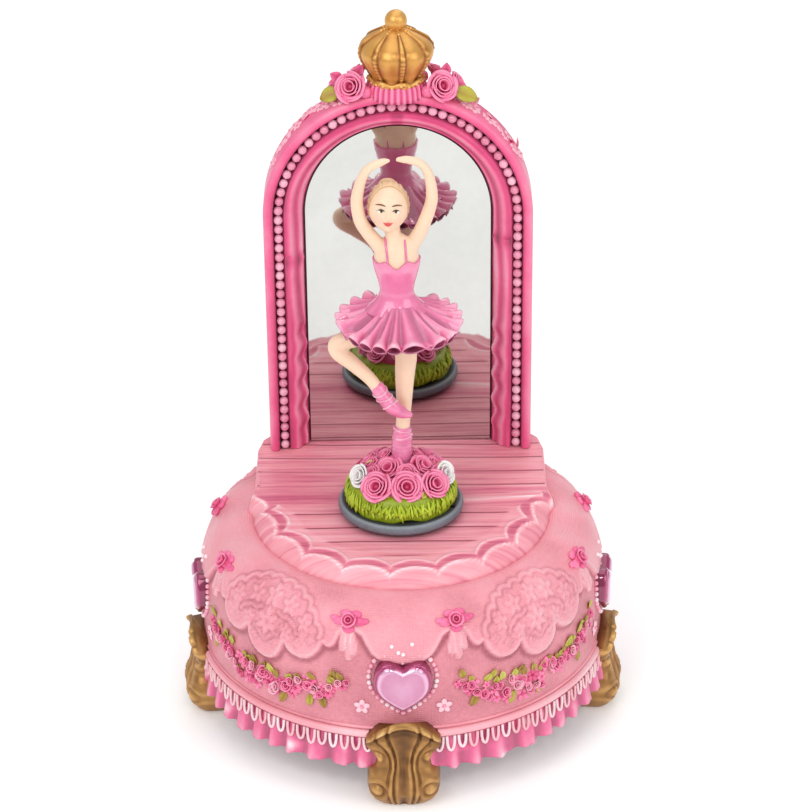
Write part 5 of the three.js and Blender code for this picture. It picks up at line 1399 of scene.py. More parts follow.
class MUSICBOX_OT_sprays(bpy.types.Operator):
    """Gather the roses, buds and leaves at both sides of the crown"""
    bl_idname = "music_box.sprays"
    bl_label = "Rose sprays"

    def execute(self, context):
        for side, name in ((-1, "left"), (1, "right")):
            bm, green = clay(), clay()
            out = Vector((side * 0.35, -0.8, 0.5))
            rose(bm, Vector((side * 12.4, 32.2, 182.2)), out, 4.7, side + 4, 4, 8)
            rose(bm, Vector((side * 16.4, 36.6, 181.2)), Vector((side * 0.9, -0.1, 0.6)), 3.4, side + 9, 3, 6)
            rose(bm, Vector((side * 10.6, 37.4, 184.4)), Vector((side * 0.4, 0.3, 1)), 3.2, side + 14, 3, 6)
            ball(bm, (side * 8.9, 29.8, 182.0), 1.9, 14, 10, 0.55, (1, 0.9, 0.95))
            ball(bm, (side * 14.2, 29.6, 180.4), 1.5, 12, 8, 0.5)
            for k in range(5):
                a = k / 5 * TURN
                at = Vector((side * 12.4, 33.4, 182.0)) + Vector((math.cos(a) * 4.2, 1.2, math.sin(a) * 3.4))
                leaf(bm, at, Vector((math.cos(a), -0.35, math.sin(a))), out, 3.4, 3.2, 0.25, 0.45)
            # a darker mass behind the roses, painted shade between them
            ball(bm, (side * 13.2, 34.6, 180.2), 4.4, 20, 12, 0.3, (1.25, 0.8, 0.62))
            finish_piece("rose_spray_petals_" + name, bm, "case", "rose",
                ("rose_spray_" + name,))
            long = 7.6 if side > 0 else 6.2
            leaf(green, Vector((side * 16.2, 32.6, 181.2)), Vector((side * 0.86, -0.12, -0.28)),
                Vector((side * 0.2, -0.75, 0.6)), long, 4.6, 0.1, 0.55)
            leaf(green, Vector((side * 16.6, 35.4, 181.6)), Vector((side * 0.8, 0.5, -0.3)),
                Vector((side * 0.5, 0.0, 0.8)), 5.6, 3.6, 0.15, 0.4)
            finish_piece("rose_spray_leaves_" + name, green, "case", "leaf")
        return {"FINISHED"}


class MUSICBOX_OT_mound(bpy.types.Operator):
    """Make the turning disc, the grass skirt and the bed of roses on it"""
    bl_idname = "music_box.mound"
    bl_label = "Turntable, grass and roses"

    def execute(self, context):
        bm = clay()
        rim = [(18.3 - 1.3 + 1.3 * math.cos(a), 67.8 + 1.6 * math.sin(a))
            for a in [mix(-math.pi / 2, math.pi / 2, k / 12) for k in range(13)]]
        lathe(bm, [(0, 66.2), (12, 66.2)] + rim + [(16.4, 69.4), (15.2, 69.4), (8, 69.4), (0, 69.4)], 160,
            (0, DISC_Y))
        notch = []
        for f in bm.faces:
            c = f.calc_center_median()
            d = Vector((c.x, c.y - DISC_Y, 0))
            if c.z > 69.3 and 14.8 < d.length < 17.1 and abs(math.degrees(math.atan2(d.x, -d.y)) - 68) < 2.4:
                notch.append(f)
        bmesh.ops.inset_region(bm, faces=notch, thickness=0.02, depth=0)
        bmesh.ops.translate(bm, vec=(0, 0, -1.2), verts=list({v for f in notch for v in f.verts}))
        for v in bm.verts:
            d = math.hypot(v.co.x, v.co.y - DISC_Y)
            # painted shade darkens the disc by the grass, on its underside and in the notch, and a painted
            # highlight runs along the top of its rim
            tone = 0.62 if d > 17.2 else mix(0.16, 0.34, ease(d, 15.5, 17.2))
            v[shade_of(bm)] = clamp(tone - 0.3 * ease(67.4, v.co.z, v.co.z + 0.9)
                + 0.2 * ease(v.co.z, 68.6, 69.3) * ease(d, 17.2, 17.8)
                - (0.3 if v.co.z < 69.2 and d < 17 else 0))
        piece = finish_piece("turning_disc", bm, "turntable", "disc", ("turntable_disc",))
        smooth_by_angle(piece, 40)

        bm = clay()
        pick = random.Random(21)
        # the mound under the blades is darker than the blades, painted shade between them
        lathe(bm, [(0, 69.5), (15.4, 69.5), (15.9, 69.7), (15.9, 71.0), (15.4, 73.4), (14.6, 75.4),
            (13.0, 76.4), (0, 76.8)], 144, (0, DISC_Y), shade=0.42)
        for v in bm.verts:
            a = math.atan2(v.co.x, DISC_Y - v.co.y)
            d = math.hypot(v.co.x, v.co.y - DISC_Y)
            if 10 < d and v.co.z < 73:
                v.co.z += (0.5 * math.sin(a * 5 + 1) + 0.35 * math.sin(a * 11)) * ease(73.5 - v.co.z, 0, 3)
        for k in range(190):
            a = k / 190 * 360 + pick.uniform(-1.5, 1.5)
            lean = pick.choice((-1, 1)) * pick.uniform(0.5, 9.0)
            low, high = pick.uniform(69.7, 72.4), pick.uniform(73.4, 75.8)
            path = [around(a + lean * t * (0.4 + 0.6 * t),
                mix(16.15, 14.9, t ** 1.6) + 0.25 * math.sin(t * 3.1), mix(low, high, t), DISC_Y)
                for t in (0, 0.25, 0.5, 0.75, 1.0)]
            wide = pick.uniform(0.34, 0.6)
            rod(bm, path, [wide * 0.5, wide, wide * 0.95, wide * 0.7, wide * 0.15], 5,
                up=Vector((path[2].x, path[2].y - DISC_Y, 0)).normalized(), flat=0.75,
                shade=pick.uniform(0.48, 0.72))
        finish_piece("grass_skirt", bm, "turntable", "grass", ("grass_mound",))

        bm, white, green = clay(), clay(), clay()
        # a dark mound under the roses, painted shade in the gaps between them
        lathe(bm, [(0, 75.6), (12.2, 75.6), (13.0, 76.6), (11.4, 78.6), (7.5, 80.4), (3.5, 81.2),
            (0, 81.3)], 96, (0, DISC_Y), shade=0.12)
        beds = [(-7.0, -10.0, 78.4, 4.4), (1.7, -10.8, 78.6, 4.6), (9.8, -8.6, 78.4, 4.3),
            (-3.4, -4.6, 81.0, 4.4), (6.6, -3.2, 81.0, 4.2), (-9.2, 3.0, 79.6, 3.6), (-4.4, 5.0, 81.0, 3.4),
            (2.4, 5.4, 81.4, 3.2), (7.8, 4.6, 80.6, 3.4), (11.6, 2.2, 79.2, 3.2), (0.8, 10.4, 79.0, 3.6),
            (-7.0, 9.2, 78.6, 3.4), (8.0, 8.8, 78.6, 3.4), (-12.0, 6.0, 77.8, 2.6), (4.8, -12.4, 77.0, 2.2),
            (-2.6, -11.6, 76.8, 2.0), (1.6, -6.6, 81.0, 2.8), (11.0, -4.6, 79.8, 2.6),
            (-8.2, -4.8, 80.0, 2.8), (-5.0, 1.0, 82.4, 3.0), (5.2, 1.4, 82.4, 3.0), (0.4, 5.0, 82.6, 3.0),
            (-8.6, -0.8, 80.6, 2.8), (9.8, -0.6, 80.6, 2.8)]
        for k, (x, dy, z, size) in enumerate(beds):
            out = Vector((x, dy, 0))
            out = (out.normalized() if out.length > 0.1 else Vector()) * mix(0.25, 0.95,
                clamp(out.length / 12)) + UP
            if dy < -6:
                out += Vector((0, -0.35, 0))
            size = min(size, 14.7 - math.hypot(x, dy)) if size < 3 else size
            at = Vector((x, DISC_Y + dy, z)) - out.normalized() * size * 0.45
            rose(bm, at, out, size * 1.06, k + 50, 4 if size > 3.5 else 3, 7)
        for x, dy, turn in ((-11.9, -4.6, -1), (13.0, -3.6, 1)):
            out = Vector((turn * 0.75, -0.55, 0.55))
            rose(white, Vector((x, DISC_Y + dy, 79.0)) - out.normalized() * 1.8, out, 3.9, 70 + turn, 3, 7)
        for x, dy, z, turn in ((-3.6, -12.8, 76.4, 200), (6.2, -13.0, 76.2, 150), (10.6, -1.2, 80.4, 40),
                (-1.4, -7.6, 79.6, 190), (4.4, 1.8, 82.0, 20), (-7.6, 0.0, 81.0, 300)):
            out = Vector((x, dy, 6)).normalized()
            leaf(green, Vector((x, DISC_Y + dy, z)), around(turn, 1, 0.35), out, 3.0, 1.9, 0.15, 0.75)
        finish_piece("bouquet_roses", bm, "turntable", "rose", ("rose_bouquet",))
        finish_piece("bouquet_white_roses", white, "turntable", "white_rose")
        finish_piece("bouquet_leaves", green, "turntable", "leaf")
        return {"FINISHED"}


# The dancer's joints as (x, y, height above the toe, thickness), from the toe up.
STANDING = [(0.4, 0, 3.3, 3.1), (0.5, 0, 8, 2.7), (0.6, 0, 12, 2.35), (0.9, 0, 16, 2.1), (1.2, 0, 22, 2.3),
    (1.4, 0, 28.5, 2.7), (1.6, 0, 33, 3.0), (1.9, 0, 37.5, 3.2), (1.2, 0, 47.5, 3.8)]
RAISED = [(-1.6, -0.4, 46.1, 3.3), (-10, -1.4, 44.6, 3.0), (-16.6, -2.0, 42.9, 2.5), (-18, -2.2, 41.6, 2.4),
    (-17.0, -2.7, 39.6, 2.4), (-13.8, -3.4, 37.2, 2.3), (-8.4, -4.6, 32.3, 1.9), (-5.4, -5.1, 27.8, 1.75)]
RAISED_FOOT = [(-6.3, -4.9, 29.6, 1.95), (-4.6, -5.2, 26.8, 2.0), (-2.2, -5.4, 23.8, 2.15),
    (0.4, -5.2, 21.7, 1.7), (2.6, -5.0, 20.8, 0.9)]
TORSO = [(4.3, 46.0), (4.4, 50), (4.25, 54), (4.2, 57), (4.7, 60.5), (5.5, 63.5), (6.2, 66.5), (6.35, 69),
    (5.9, 71.2), (4.9, 73), (3.4, 74.3), (2.3, 75.4)]
LEFT_ARM = [(-4.6, 0, 71.0, 2.2), (-5.9, 0, 72.8, 2.15), (-8.6, -0.3, 76.6, 2.0), (-10.4, -0.6, 80, 1.95),
    (-11.2, -0.9, 84, 1.85), (-11.3, -1.0, 87, 1.8), (-10.4, -1.3, 91.5, 1.6), (-9.0, -1.6, 95.0, 1.4),
    (-7.2, -1.9, 97.0, 1.25), (-5.2, -2, 98.0, 1.2), (-3.6, -2, 98.6, 1.0), (-2.3, -2, 98.8, 0.6)]
RIGHT_ARM = [(3.2, 0, 71.2, 2.2), (4.4, 0, 73.2, 2.15), (6.2, -0.3, 76.4, 2.05), (7.6, -0.6, 80.0, 1.95),
    (8.9, -0.9, 84, 1.85), (9.5, -1.0, 87.2, 1.75), (9.2, -1.4, 91.6, 1.6), (8.3, -1.7, 95.2, 1.4),
    (6.6, -1.9, 97.6, 1.25), (4.4, -2, 98.7, 1.25), (2.0, -2, 99.1, 1.1), (0.2, -2, 99.1, 0.8)]
HEAD = Vector((-2.6, DISC_Y + 0.0, TOE_Z + 83.7))
HEAD_SIZE = Vector((5.6, 5.9, 6.8))
HEAD_TURN = Matrix.Rotation(math.radians(3), 3, "Y") @ Matrix.Rotation(math.radians(-9), 3, "X")


def dancer_path(nodes, count):
    curve = spline([(x, y + DISC_Y, z + TOE_Z) for x, y, z, _ in nodes], count)
    sizes = [p.x for p in spline([(r, 0, 0) for _, _, _, r in nodes], count)]
    return curve, sizes


def colour_layer(piece, paint):
    layer = piece.data.color_attributes.new("paint", "FLOAT_COLOR", "POINT")
    for v, item in zip(piece.data.vertices, layer.data):
        item.color = paint(v.co / MM)


class MUSICBOX_OT_dancer_body(bpy.types.Operator):
    """Join the dancer's limbs, trunk and neck into one smooth figure"""
    bl_idname = "music_box.dancer_body"
    bl_label = "Dancer's body"

    def execute(self, context):
        skin = tuple(context.scene.music_box_dancer.skin_colour) + (1,)
        bm = clay()
        for nodes, count in ((STANDING, 40), (RAISED, 44), (LEFT_ARM, 44), (RIGHT_ARM, 44)):
            path, sizes = dancer_path(nodes, count)
            rod(bm, path, sizes, 20, up=Vector((0, 1, 0.01)), rounded=True)
        rings = []
        for r, z in [(p.x, p.y) for p in spline([(r, z, 0) for r, z in TORSO], 30)]:
            rings.append([Vector((-0.5 + r * math.cos(k / 32 * TURN),
                DISC_Y + 0.74 * r * math.sin(k / 32 * TURN), TOE_Z + z)) for k in range(32)])
        loft(bm, rings)
        rod(bm, [(-1.0, DISC_Y, TOE_Z + 71), (-1.4, DISC_Y, TOE_Z + 75), (-1.9, DISC_Y + 0.3, TOE_Z + 80)],
            [2.7, 2.25, 2.3], 18, up=Vector((0, 1, 0)))
        bmesh.ops.recalc_face_normals(bm, faces=bm.faces)
        bmesh.ops.scale(bm, vec=(MM, MM, MM), verts=bm.verts)
        draft = bpy.data.meshes.new("draft")
        bm.to_mesh(draft)
        bm.free()
        figure = bpy.data.objects.new("draft", draft)
        context.scene.collection.objects.link(figure)
        knit = figure.modifiers.new("Knit", "REMESH")
        knit.mode = "VOXEL"
        knit.voxel_size = 0.00038
        joined = bpy.data.meshes.new_from_object(figure.evaluated_get(context.evaluated_depsgraph_get()))
        bpy.data.objects.remove(figure)
        bm = bmesh.new()
        bm.from_mesh(joined)
        bm.verts.layers.float.new("shade")
        for _ in range(7):
            bmesh.ops.smooth_vert(bm, verts=bm.verts, factor=0.5, use_axis_x=True, use_axis_y=True,
                use_axis_z=True)
        bmesh.ops.scale(bm, vec=(1 / MM,) * 3, verts=bm.verts)
        piece = finish_piece("dancer_body", bm, "turntable", "enamel", ("ballerina",))
        flush = srgb(242, 204, 178)

        def paint(p):
            glow = clamp(0.35 + 0.5 * noise.noise(p * 0.3)) * 0.5
            return tuple(mix(a, b, glow) for a, b in zip(skin, flush))
        colour_layer(piece, paint)
        return {"FINISHED"}


class MUSICBOX_OT_dancer_head(bpy.types.Operator):
    """Shape the dancer's head, its painted face, and the swept-back hair with its bun"""
    bl_idname = "music_box.dancer_head"
    bl_label = "Dancer's head"

    def place(self, p, grow=1.0):
        """A point on the unit ball of the head to its place on the figure."""
        x, y, z = p
        jaw = 1 - 0.13 * ease(-z, 0.2, 0.95)
        chin = -0.1 * ease(-z, 0.45, 0.9) * max(0, -y)
        return HEAD + HEAD_TURN @ Vector((x * HEAD_SIZE.x * jaw * grow,
            (y * jaw + chin) * HEAD_SIZE.y * grow, z * HEAD_SIZE.z * grow))

    def on_face(self, x, z, lift=0.0):
        """A point on the front of the face, x to the right and z up, in head radii."""
        y = -math.sqrt(max(0.0, 1 - x * x - z * z))
        p = Vector((x, y, z))
        return self.place(p) + HEAD_TURN @ (p * self.shape(p)) + HEAD_TURN @ (Vector((0, -1, 0)) * lift)

    def shape(self, p):
        """How far the face's features stand out, in millimetres."""
        x, y, z = p
        if y > 0:
            return 0.0
        nose = 0.85 * math.exp(-(x / 0.1) ** 2) * math.exp(-((z + 0.2) / 0.12) ** 2) + 0.35 * math.exp(-(x
            / 0.07) ** 2) * math.exp(-((z - 0.02) / 0.16) ** 2)
        eyes = -0.32 * math.exp(-((abs(x) - 0.38) / 0.17) ** 2) * math.exp(-((z - 0.04) / 0.11) ** 2)
        lips = 0.3 * math.exp(-(x / 0.17) ** 2) * math.exp(-((z + 0.48) / 0.07) ** 2)
        chin = 0.4 * math.exp(-(x / 0.2) ** 2) * math.exp(-((z + 0.8) / 0.13) ** 2)
        cheeks = 0.25 * math.exp(-((abs(x) - 0.48) / 0.2) ** 2) * math.exp(-((z + 0.3) / 0.2) ** 2)
        return nose + eyes + lips + chin + cheeks

    def execute(self, context):
        dancer = context.scene.music_box_dancer
        skin, hair = tuple(dancer.skin_colour) + (1,), tuple(dancer.hair_colour) + (1,)
        bm = clay()
        bmesh.ops.create_uvsphere(bm, u_segments=128, v_segments=96, radius=1)
        for v in bm.verts:
            p = v.co.copy()
            v.co = self.place(p) + HEAD_TURN @ (p * self.shape(p))
        for side in (-1, 1):
            ball(bm, self.place(Vector((side * 0.97, 0.12, -0.08))), 1.0, 16, 10, 0.5, (0.45, 0.8, 1.25),
                HEAD_TURN)
        piece = finish_piece("dancer_head", bm, "turntable", "enamel")
        cheeks = [self.on_face(side * 0.5, -0.32) for side in (-1, 1)]
        blush = srgb(244, 184, 164)

        def face(p):
            near = min((p - c).length for c in cheeks)
            return tuple(mix(a, b, 0.45 * math.exp(-(near / 1.7) ** 2)) for a, b in zip(skin, blush))
        colour_layer(piece, face)

        bm = clay()
        marks = []  # (first vertex, colour)
        white, brown, dark, coral = srgb(246, 240, 230), srgb(120, 78, 46), srgb(44, 26, 20), srgb(222, 84,
            84)
        for side in (-1, 1):
            marks.append((len(bm.verts), white))
            ball(bm, self.on_face(side * 0.38, 0.045, -0.02), 1.0, 20, 12, 0.5, (1.1, 0.2, 0.5), HEAD_TURN)
            marks.append((len(bm.verts), brown))
            ball(bm, self.on_face(side * 0.38 + 0.01, 0.05, 0.06), 0.5, 18, 12, 0.5, (0.95, 0.4, 0.95),
                HEAD_TURN)
            marks.append((len(bm.verts), dark))
            ball(bm, self.on_face(side * 0.38 + 0.01, 0.05, 0.15), 0.27, 14, 10, 0.5, (1, 0.6, 1), HEAD_TURN)
            path = [self.on_face(side * mix(0.2, 0.58, t), 0.075 + 0.055 * math.sin(math.pi * t) - 0.03 * t,
                0.13) for t in (0, 0.2, 0.4, 0.6, 0.8, 1)]
            rod(bm, path, [0.08, 0.18, 0.23, 0.23, 0.18, 0.07], 8, up=HEAD_TURN @ Vector((0, -1, 0)))
            marks.append((len(bm.verts), brown))
            path = [self.on_face(side * mix(0.16, 0.66, t),
                0.235 + 0.085 * math.sin(math.pi * (0.15 + 0.7 * t)), 0.04)
                for t in (0, 0.2, 0.4, 0.6, 0.8, 1)]
            rod(bm, path, [0.1, 0.22, 0.25, 0.22, 0.17, 0.07], 8, up=HEAD_TURN @ Vector((0, -1, 0)))
        marks.append((len(bm.verts), coral))
        for rise, dip, wide, thick in ((-0.45, 0.012, 0.24, 0.3), (-0.505, -0.02, 0.18, 0.38)):
            path = [self.on_face(mix(-wide, wide, t),
                rise + dip * math.cos(TURN * (t - 0.5) * (2 if rise > -0.48 else 1)), 0.08)
                for t in [k / 8 for k in range(9)]]
            rod(bm, path, [thick * math.sin(math.pi * clamp(0.12 + 0.76 * k / 8)) for k in range(9)], 8,
                up=HEAD_TURN @ Vector((0, -1, 0)), flat=0.9)
        piece = finish_piece("dancer_face_paint", bm, "turntable", "enamel")
        layer = piece.data.color_attributes.new("paint", "FLOAT_COLOR", "POINT")
        marks.append((len(piece.data.vertices), None))
        for (first, colour), (end, _) in zip(marks, marks[1:]):
            for i in range(first, end):
                layer.data[i].color = colour

        bm = clay()
        bmesh.ops.create_uvsphere(bm, u_segments=160, v_segments=96, radius=1)
        for v in bm.verts:
            p = v.co.copy()
            strands = 0.16 * math.sin(34 * math.atan2(p.x, p.z + 0.6) + 3 * noise.noise(p * 2)) * ease(p.y,
                -0.8, 0.3)
            front = ease(-p.y, 0.2, 0.9)
            back = p + Vector((0, 0.075 + 0.1 * front, 0.05))
            v.co = self.place(back, 1.05 + 0.004 * p.z) + HEAD_TURN @ (p * strands)
            # the hair leaves an oval open for the face
            opening = math.hypot(p.x / 0.86, (p.z + 0.08) / 0.94)
            if p.y < 0:
                v.co += HEAD_TURN @ Vector((0, 2.6 * ease(1.06 - opening, 0, 0.16), 0))
            v.co += HEAD_TURN @ Vector((-1.2 * p.x * ease(-p.z, 0.35, 0.9), 0.6 * ease(-p.z, 0.3, 0.9),
                0.9 * ease(-p.z, 0.3, 1)))
        bun = clay()
        ball(bun, HEAD + Vector((-0.2, 6.2, 3.0)), 2.9, 48, 32, 0.5, (1, 0.85, 1))
        for v in bun.verts:
            d = v.co - (HEAD + Vector((-0.2, 6.2, 3.0)))
            v.co += d.normalized() * 0.22 * math.sin(4 * math.atan2(d.x, d.z) + 2.4 * d.length + 5 * d.y)
        join(bm, bun)
        piece = finish_piece("dancer_hair", bm, "turntable", "enamel")
        pale = srgb(232, 200, 160)

        def hair_paint(p):
            streak = 0.5 + 0.5 * math.sin(9 * (p.x - HEAD.x) + 4 * noise.noise(p * 0.5))
            # the hair is lighter towards the top of the head, a painted highlight
            high = ease(p.z, HEAD.z + 1, HEAD.z + 6.5)
            return tuple(mix(a, b, clamp(0.25 * streak + 0.6 * high)) for a, b in zip(hair, pale))
        colour_layer(piece, hair_paint)
        return {"FINISHED"}


class MUSICBOX_OT_dancer_dress(bpy.types.Operator):
    """Dress the dancer in the bodice, the fluted tutu and the ribboned shoes"""
    bl_idname = "music_box.dancer_dress"
    bl_label = "Dancer's dress"

    def execute(self, context):
        flutes = context.scene.music_box_dancer.flutes
        bm = clay()
        rings, tones = [], []
        shape = [(p.x, p.y) for p in spline([(r, z, 0) for r, z in TORSO], 60)]
        rows = [s for s in shape if 52.0 <= s[1] <= 70.6]
        for grow, order in ((0.42, 1), (-0.3, -1)):
            for r, z in (rows if order > 0 else rows[::-1]):
                ring = []
                for k in range(72):
                    a = k / 72 * TURN
                    c, s = math.cos(a), math.sin(a)
                    # a sweetheart neckline in front, straight at the back
                    front = ease(-s, 0.1, 0.9)
                    top = 67.6 + 1.3 * math.exp(-((abs(c) - 0.52) / 0.28) ** 2) * front - 0.9 * math.exp(-(c
                        / 0.2) ** 2) * front + 0.8 * ease(abs(c), 0.75, 1.0)
                    high = min(z, 52 + (top - 52) * (z - 52) / (rows[-1][1] - 52))
                    near = table([(zz, rr) for rr, zz in shape], high)
                    bust = 0.65 * math.exp(-((high - 66.4) / 2.0) ** 2) * math.exp(-((abs(c) - 0.48)
                        / 0.26) ** 2) * front
                    size = near + grow + 4.2 * clamp((58.5 - high) / 6) ** 1.6
                    ring.append(Vector((-0.5 + size * c,
                        DISC_Y + (0.74 * size + (0.3 if grow > 0 else 0) + bust) * s, TOE_Z + high)))
                    # the bust is lighter, a painted highlight, and the flare below the waist is striped
                    # lighter and darker
                    tones.append(clamp(0.5 + 0.12 * bust + 0.08 * ease(57 - high, 0, 4) * math.sin(k * 1.1)))
                rings.append(ring)
        loft(bm, rings, shade=None, joined=True)
        bm.verts.ensure_lookup_table()
        for v, tone in zip(bm.verts, tones):
            v[shade_of(bm)] = tone
        for nodes in ([(-2.9, -4.6, 68.4), (-3.1, -4.3, 70.6), (-3.4, -3.2, 73.0), (-3.6, -1.2, 74.6),
                (-3.6, 1.6, 73.8), (-3.0, 3.6, 71.0), (-2.8, 4.4, 67.6)],
                [(2.3, -4.6, 68.6), (2.2, -4.3, 70.6), (2.0, -3.2, 73.0), (1.8, -1.2, 74.4),
                (2.0, 1.6, 73.6), (1.8, 3.6, 71.0), (1.8, 4.4, 67.6)]):
            rod(bm, spline([(x, y + DISC_Y, z + TOE_Z) for x, y, z in nodes], 24), 0.34, 8, flat=0.8,
                shade=0.45, rounded=True)
        finish_piece("dancer_bodice", bm, "turntable", "dress")

        bm = clay()
        for layer, (top, drop) in enumerate((([(3.2, 133.6), (5.2, 133.4), (6.2, 132.6), (8, 131.2),
                (10, 130.0), (12, 128.9), (14, 128.0), (15.6, 127.5), (16.8, 127.3), (17.5, 127.1),
                (17.8, 126.8)], 0.55), ([(4.2, 129.0), (8, 128.2), (12, 126.8), (15, 126.0), (16.4, 125.9),
                (17.2, 126.0)], 0.5))):
            upper = [(p.x, p.y) for p in spline([(r, z, 0) for r, z in top], 40)]
            under = [(r - 0.08, z - drop) for r, z in reversed(upper)]
            frill = clay()
            lathe(frill, upper + under + [upper[0]], 360, (0, DISC_Y))
            for v in frill.verts:
                d = Vector((v.co.x, v.co.y - DISC_Y, 0))
                radius, a = d.length, math.atan2(v.co.x, DISC_Y - v.co.y)
                warp = a + 0.085 * math.sin(3 * a + 1) + 0.05 * math.sin(5 * a + 2) + 0.03 * math.sin(8 * a)
                grow = clamp((radius - 4.6) / 13)
                wave = math.cos(flutes * warp + math.pi * layer)
                fold = math.copysign(abs(wave) ** 0.8, wave)
                edge = ease(radius, 14.0, 17.4)
                second = math.sin(2 * flutes * warp + 1.2) * edge
                deep = 1.3 if layer == 0 else 1.0
                v.co.z += deep * fold * grow ** 0.9 + 0.22 * second + edge * 0.3 * math.sin(4 * a + 0.6)
                size = min(18.5, radius + edge * (0.4 * fold + 0.3 * second)
                    + 0.35 * math.sin(2 * a + 0.4) * grow)
                flat = Matrix.Rotation(0.05 * edge * math.sin(flutes * warp), 3, "Z") @ d.normalized() * size
                v.co.x, v.co.y = flat.x, DISC_Y + flat.y
                # the under layer, the flutes' hollows and the part by the waist take painted shade; the
                # flutes' crests and the rim take painted highlight
                v[shade_of(frill)] = clamp(0.46 - 0.16 * layer + 0.2 * fold * grow ** 0.5
                    + 0.14 * edge * max(fold, 0.3) - 0.08 * (1 - grow))
            join(bm, frill)
        finish_piece("dancer_tutu", bm, "turntable", "dress", ("tutu",))

        bm = clay()
        # the standing shoe flares into the roses and is tied at the ankle
        path, sizes = dancer_path([(0.4, 0, 0.4, 3.5), (0.4, 0, 2.4, 3.35), (0.45, 0, 5, 3.1),
            (0.5, 0, 8, 2.95), (0.55, 0, 10.6, 2.8), (0.65, 0, 12.6, 2.6), (0.8, 0, 14.6, 2.35)], 34)
        rod(bm, path, [r + (0.22 * math.exp(-((p.z - TOE_Z - 10.8) / 0.5) ** 2)) + 0.12 * math.sin(p.z * 5)
            for p, r in zip(path, sizes)], 32, shade=0.5, up=Vector((0, 1, 0)))
        for z, tilt in ((11.4, 0.5), (13.6, -0.4)):
            ring = [Vector((0.65 + (2.78 if z < 12 else 2.5) * math.cos(k / 36 * TURN),
                DISC_Y + (2.78 if z < 12 else 2.5) * math.sin(k / 36 * TURN),
                TOE_Z + z + tilt * math.cos(k / 36 * TURN))) for k in range(36)]
            rod(bm, ring, 0.3, 6, shade=0.72, joined=True)
        path, sizes = dancer_path(RAISED_FOOT, 30)
        rod(bm, path, [r + 0.12 for r in sizes], 24, shade=0.5, up=Vector((0, 1, 0)), rounded=True)
        for k in (3, 8, 13):
            centre, way = path[k], (path[k + 1] - path[k - 1]).normalized()
            side = way.cross(Vector((0, 1, 0))).normalized()
            size = sizes[k] + 0.2
            ring = [centre + side * (size * math.cos(i / 28 * TURN))
                + side.cross(way) * (size * math.sin(i / 28 * TURN))
                + way * 0.7 * math.sin(i / 28 * TURN + k) for i in range(28)]
            rod(bm, ring, 0.26, 6, shade=0.76, joined=True)
        for v in bm.verts:
            v[shade_of(bm)] = clamp(v[shade_of(bm)] + 0.14 * noise.noise(v.co * 0.5))
        finish_piece("dancer_shoes", bm, "turntable", "dress")
        return {"FINISHED"}


class MUSICBOX_OT_carried_parts(bpy.types.Operator):
    """Finish the mirror, the bottom plate, the key and the movement"""
    bl_idname = "music_box.carried_parts"
    bl_label = "Mirror, key and movement"

    def execute(self, context):
        finishes = {"mirror": ["mirror_glass"], "plastic": ["bottom_plate"],
            "zinc": ["movement_bedplate", "cylinder_bracket_inner", "cylinder_bracket_outer",
            "governor_bracket"], "steel": ["base_screw_1", "base_screw_2", "base_screw_3", "base_screw_4",
            "movement_screw_1", "movement_screw_2", "movement_screw_3", "music_comb", "comb_screw_1",
            "comb_screw_2", "mainspring", "output_spindle", "winding_arbor", "clutch_spring",
            "cylinder_arbor", "cylinder_pinion", "governor_pinion", "governor_worm"],
            "brass": ["spindle_bush", "spring_barrel", "winding_key", "music_cylinder", "cylinder_gear",
            "worm_wheel", "air_brake_fan"],}
        for finish, names in finishes.items():
            for name in names:
                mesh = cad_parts[name].data
                mesh.materials.clear()
                mesh.materials.append(paint_box()[finish])
        return {"FINISHED"}


CAMERA_TARGET = Vector((1.75, 0, 96.142))
CAMERA_DISTANCE = 868.149
CAMERA_TURN = (28.565, -0.063, -0.583)  # degrees down from level, round the box, and of roll
LENS = 132.7


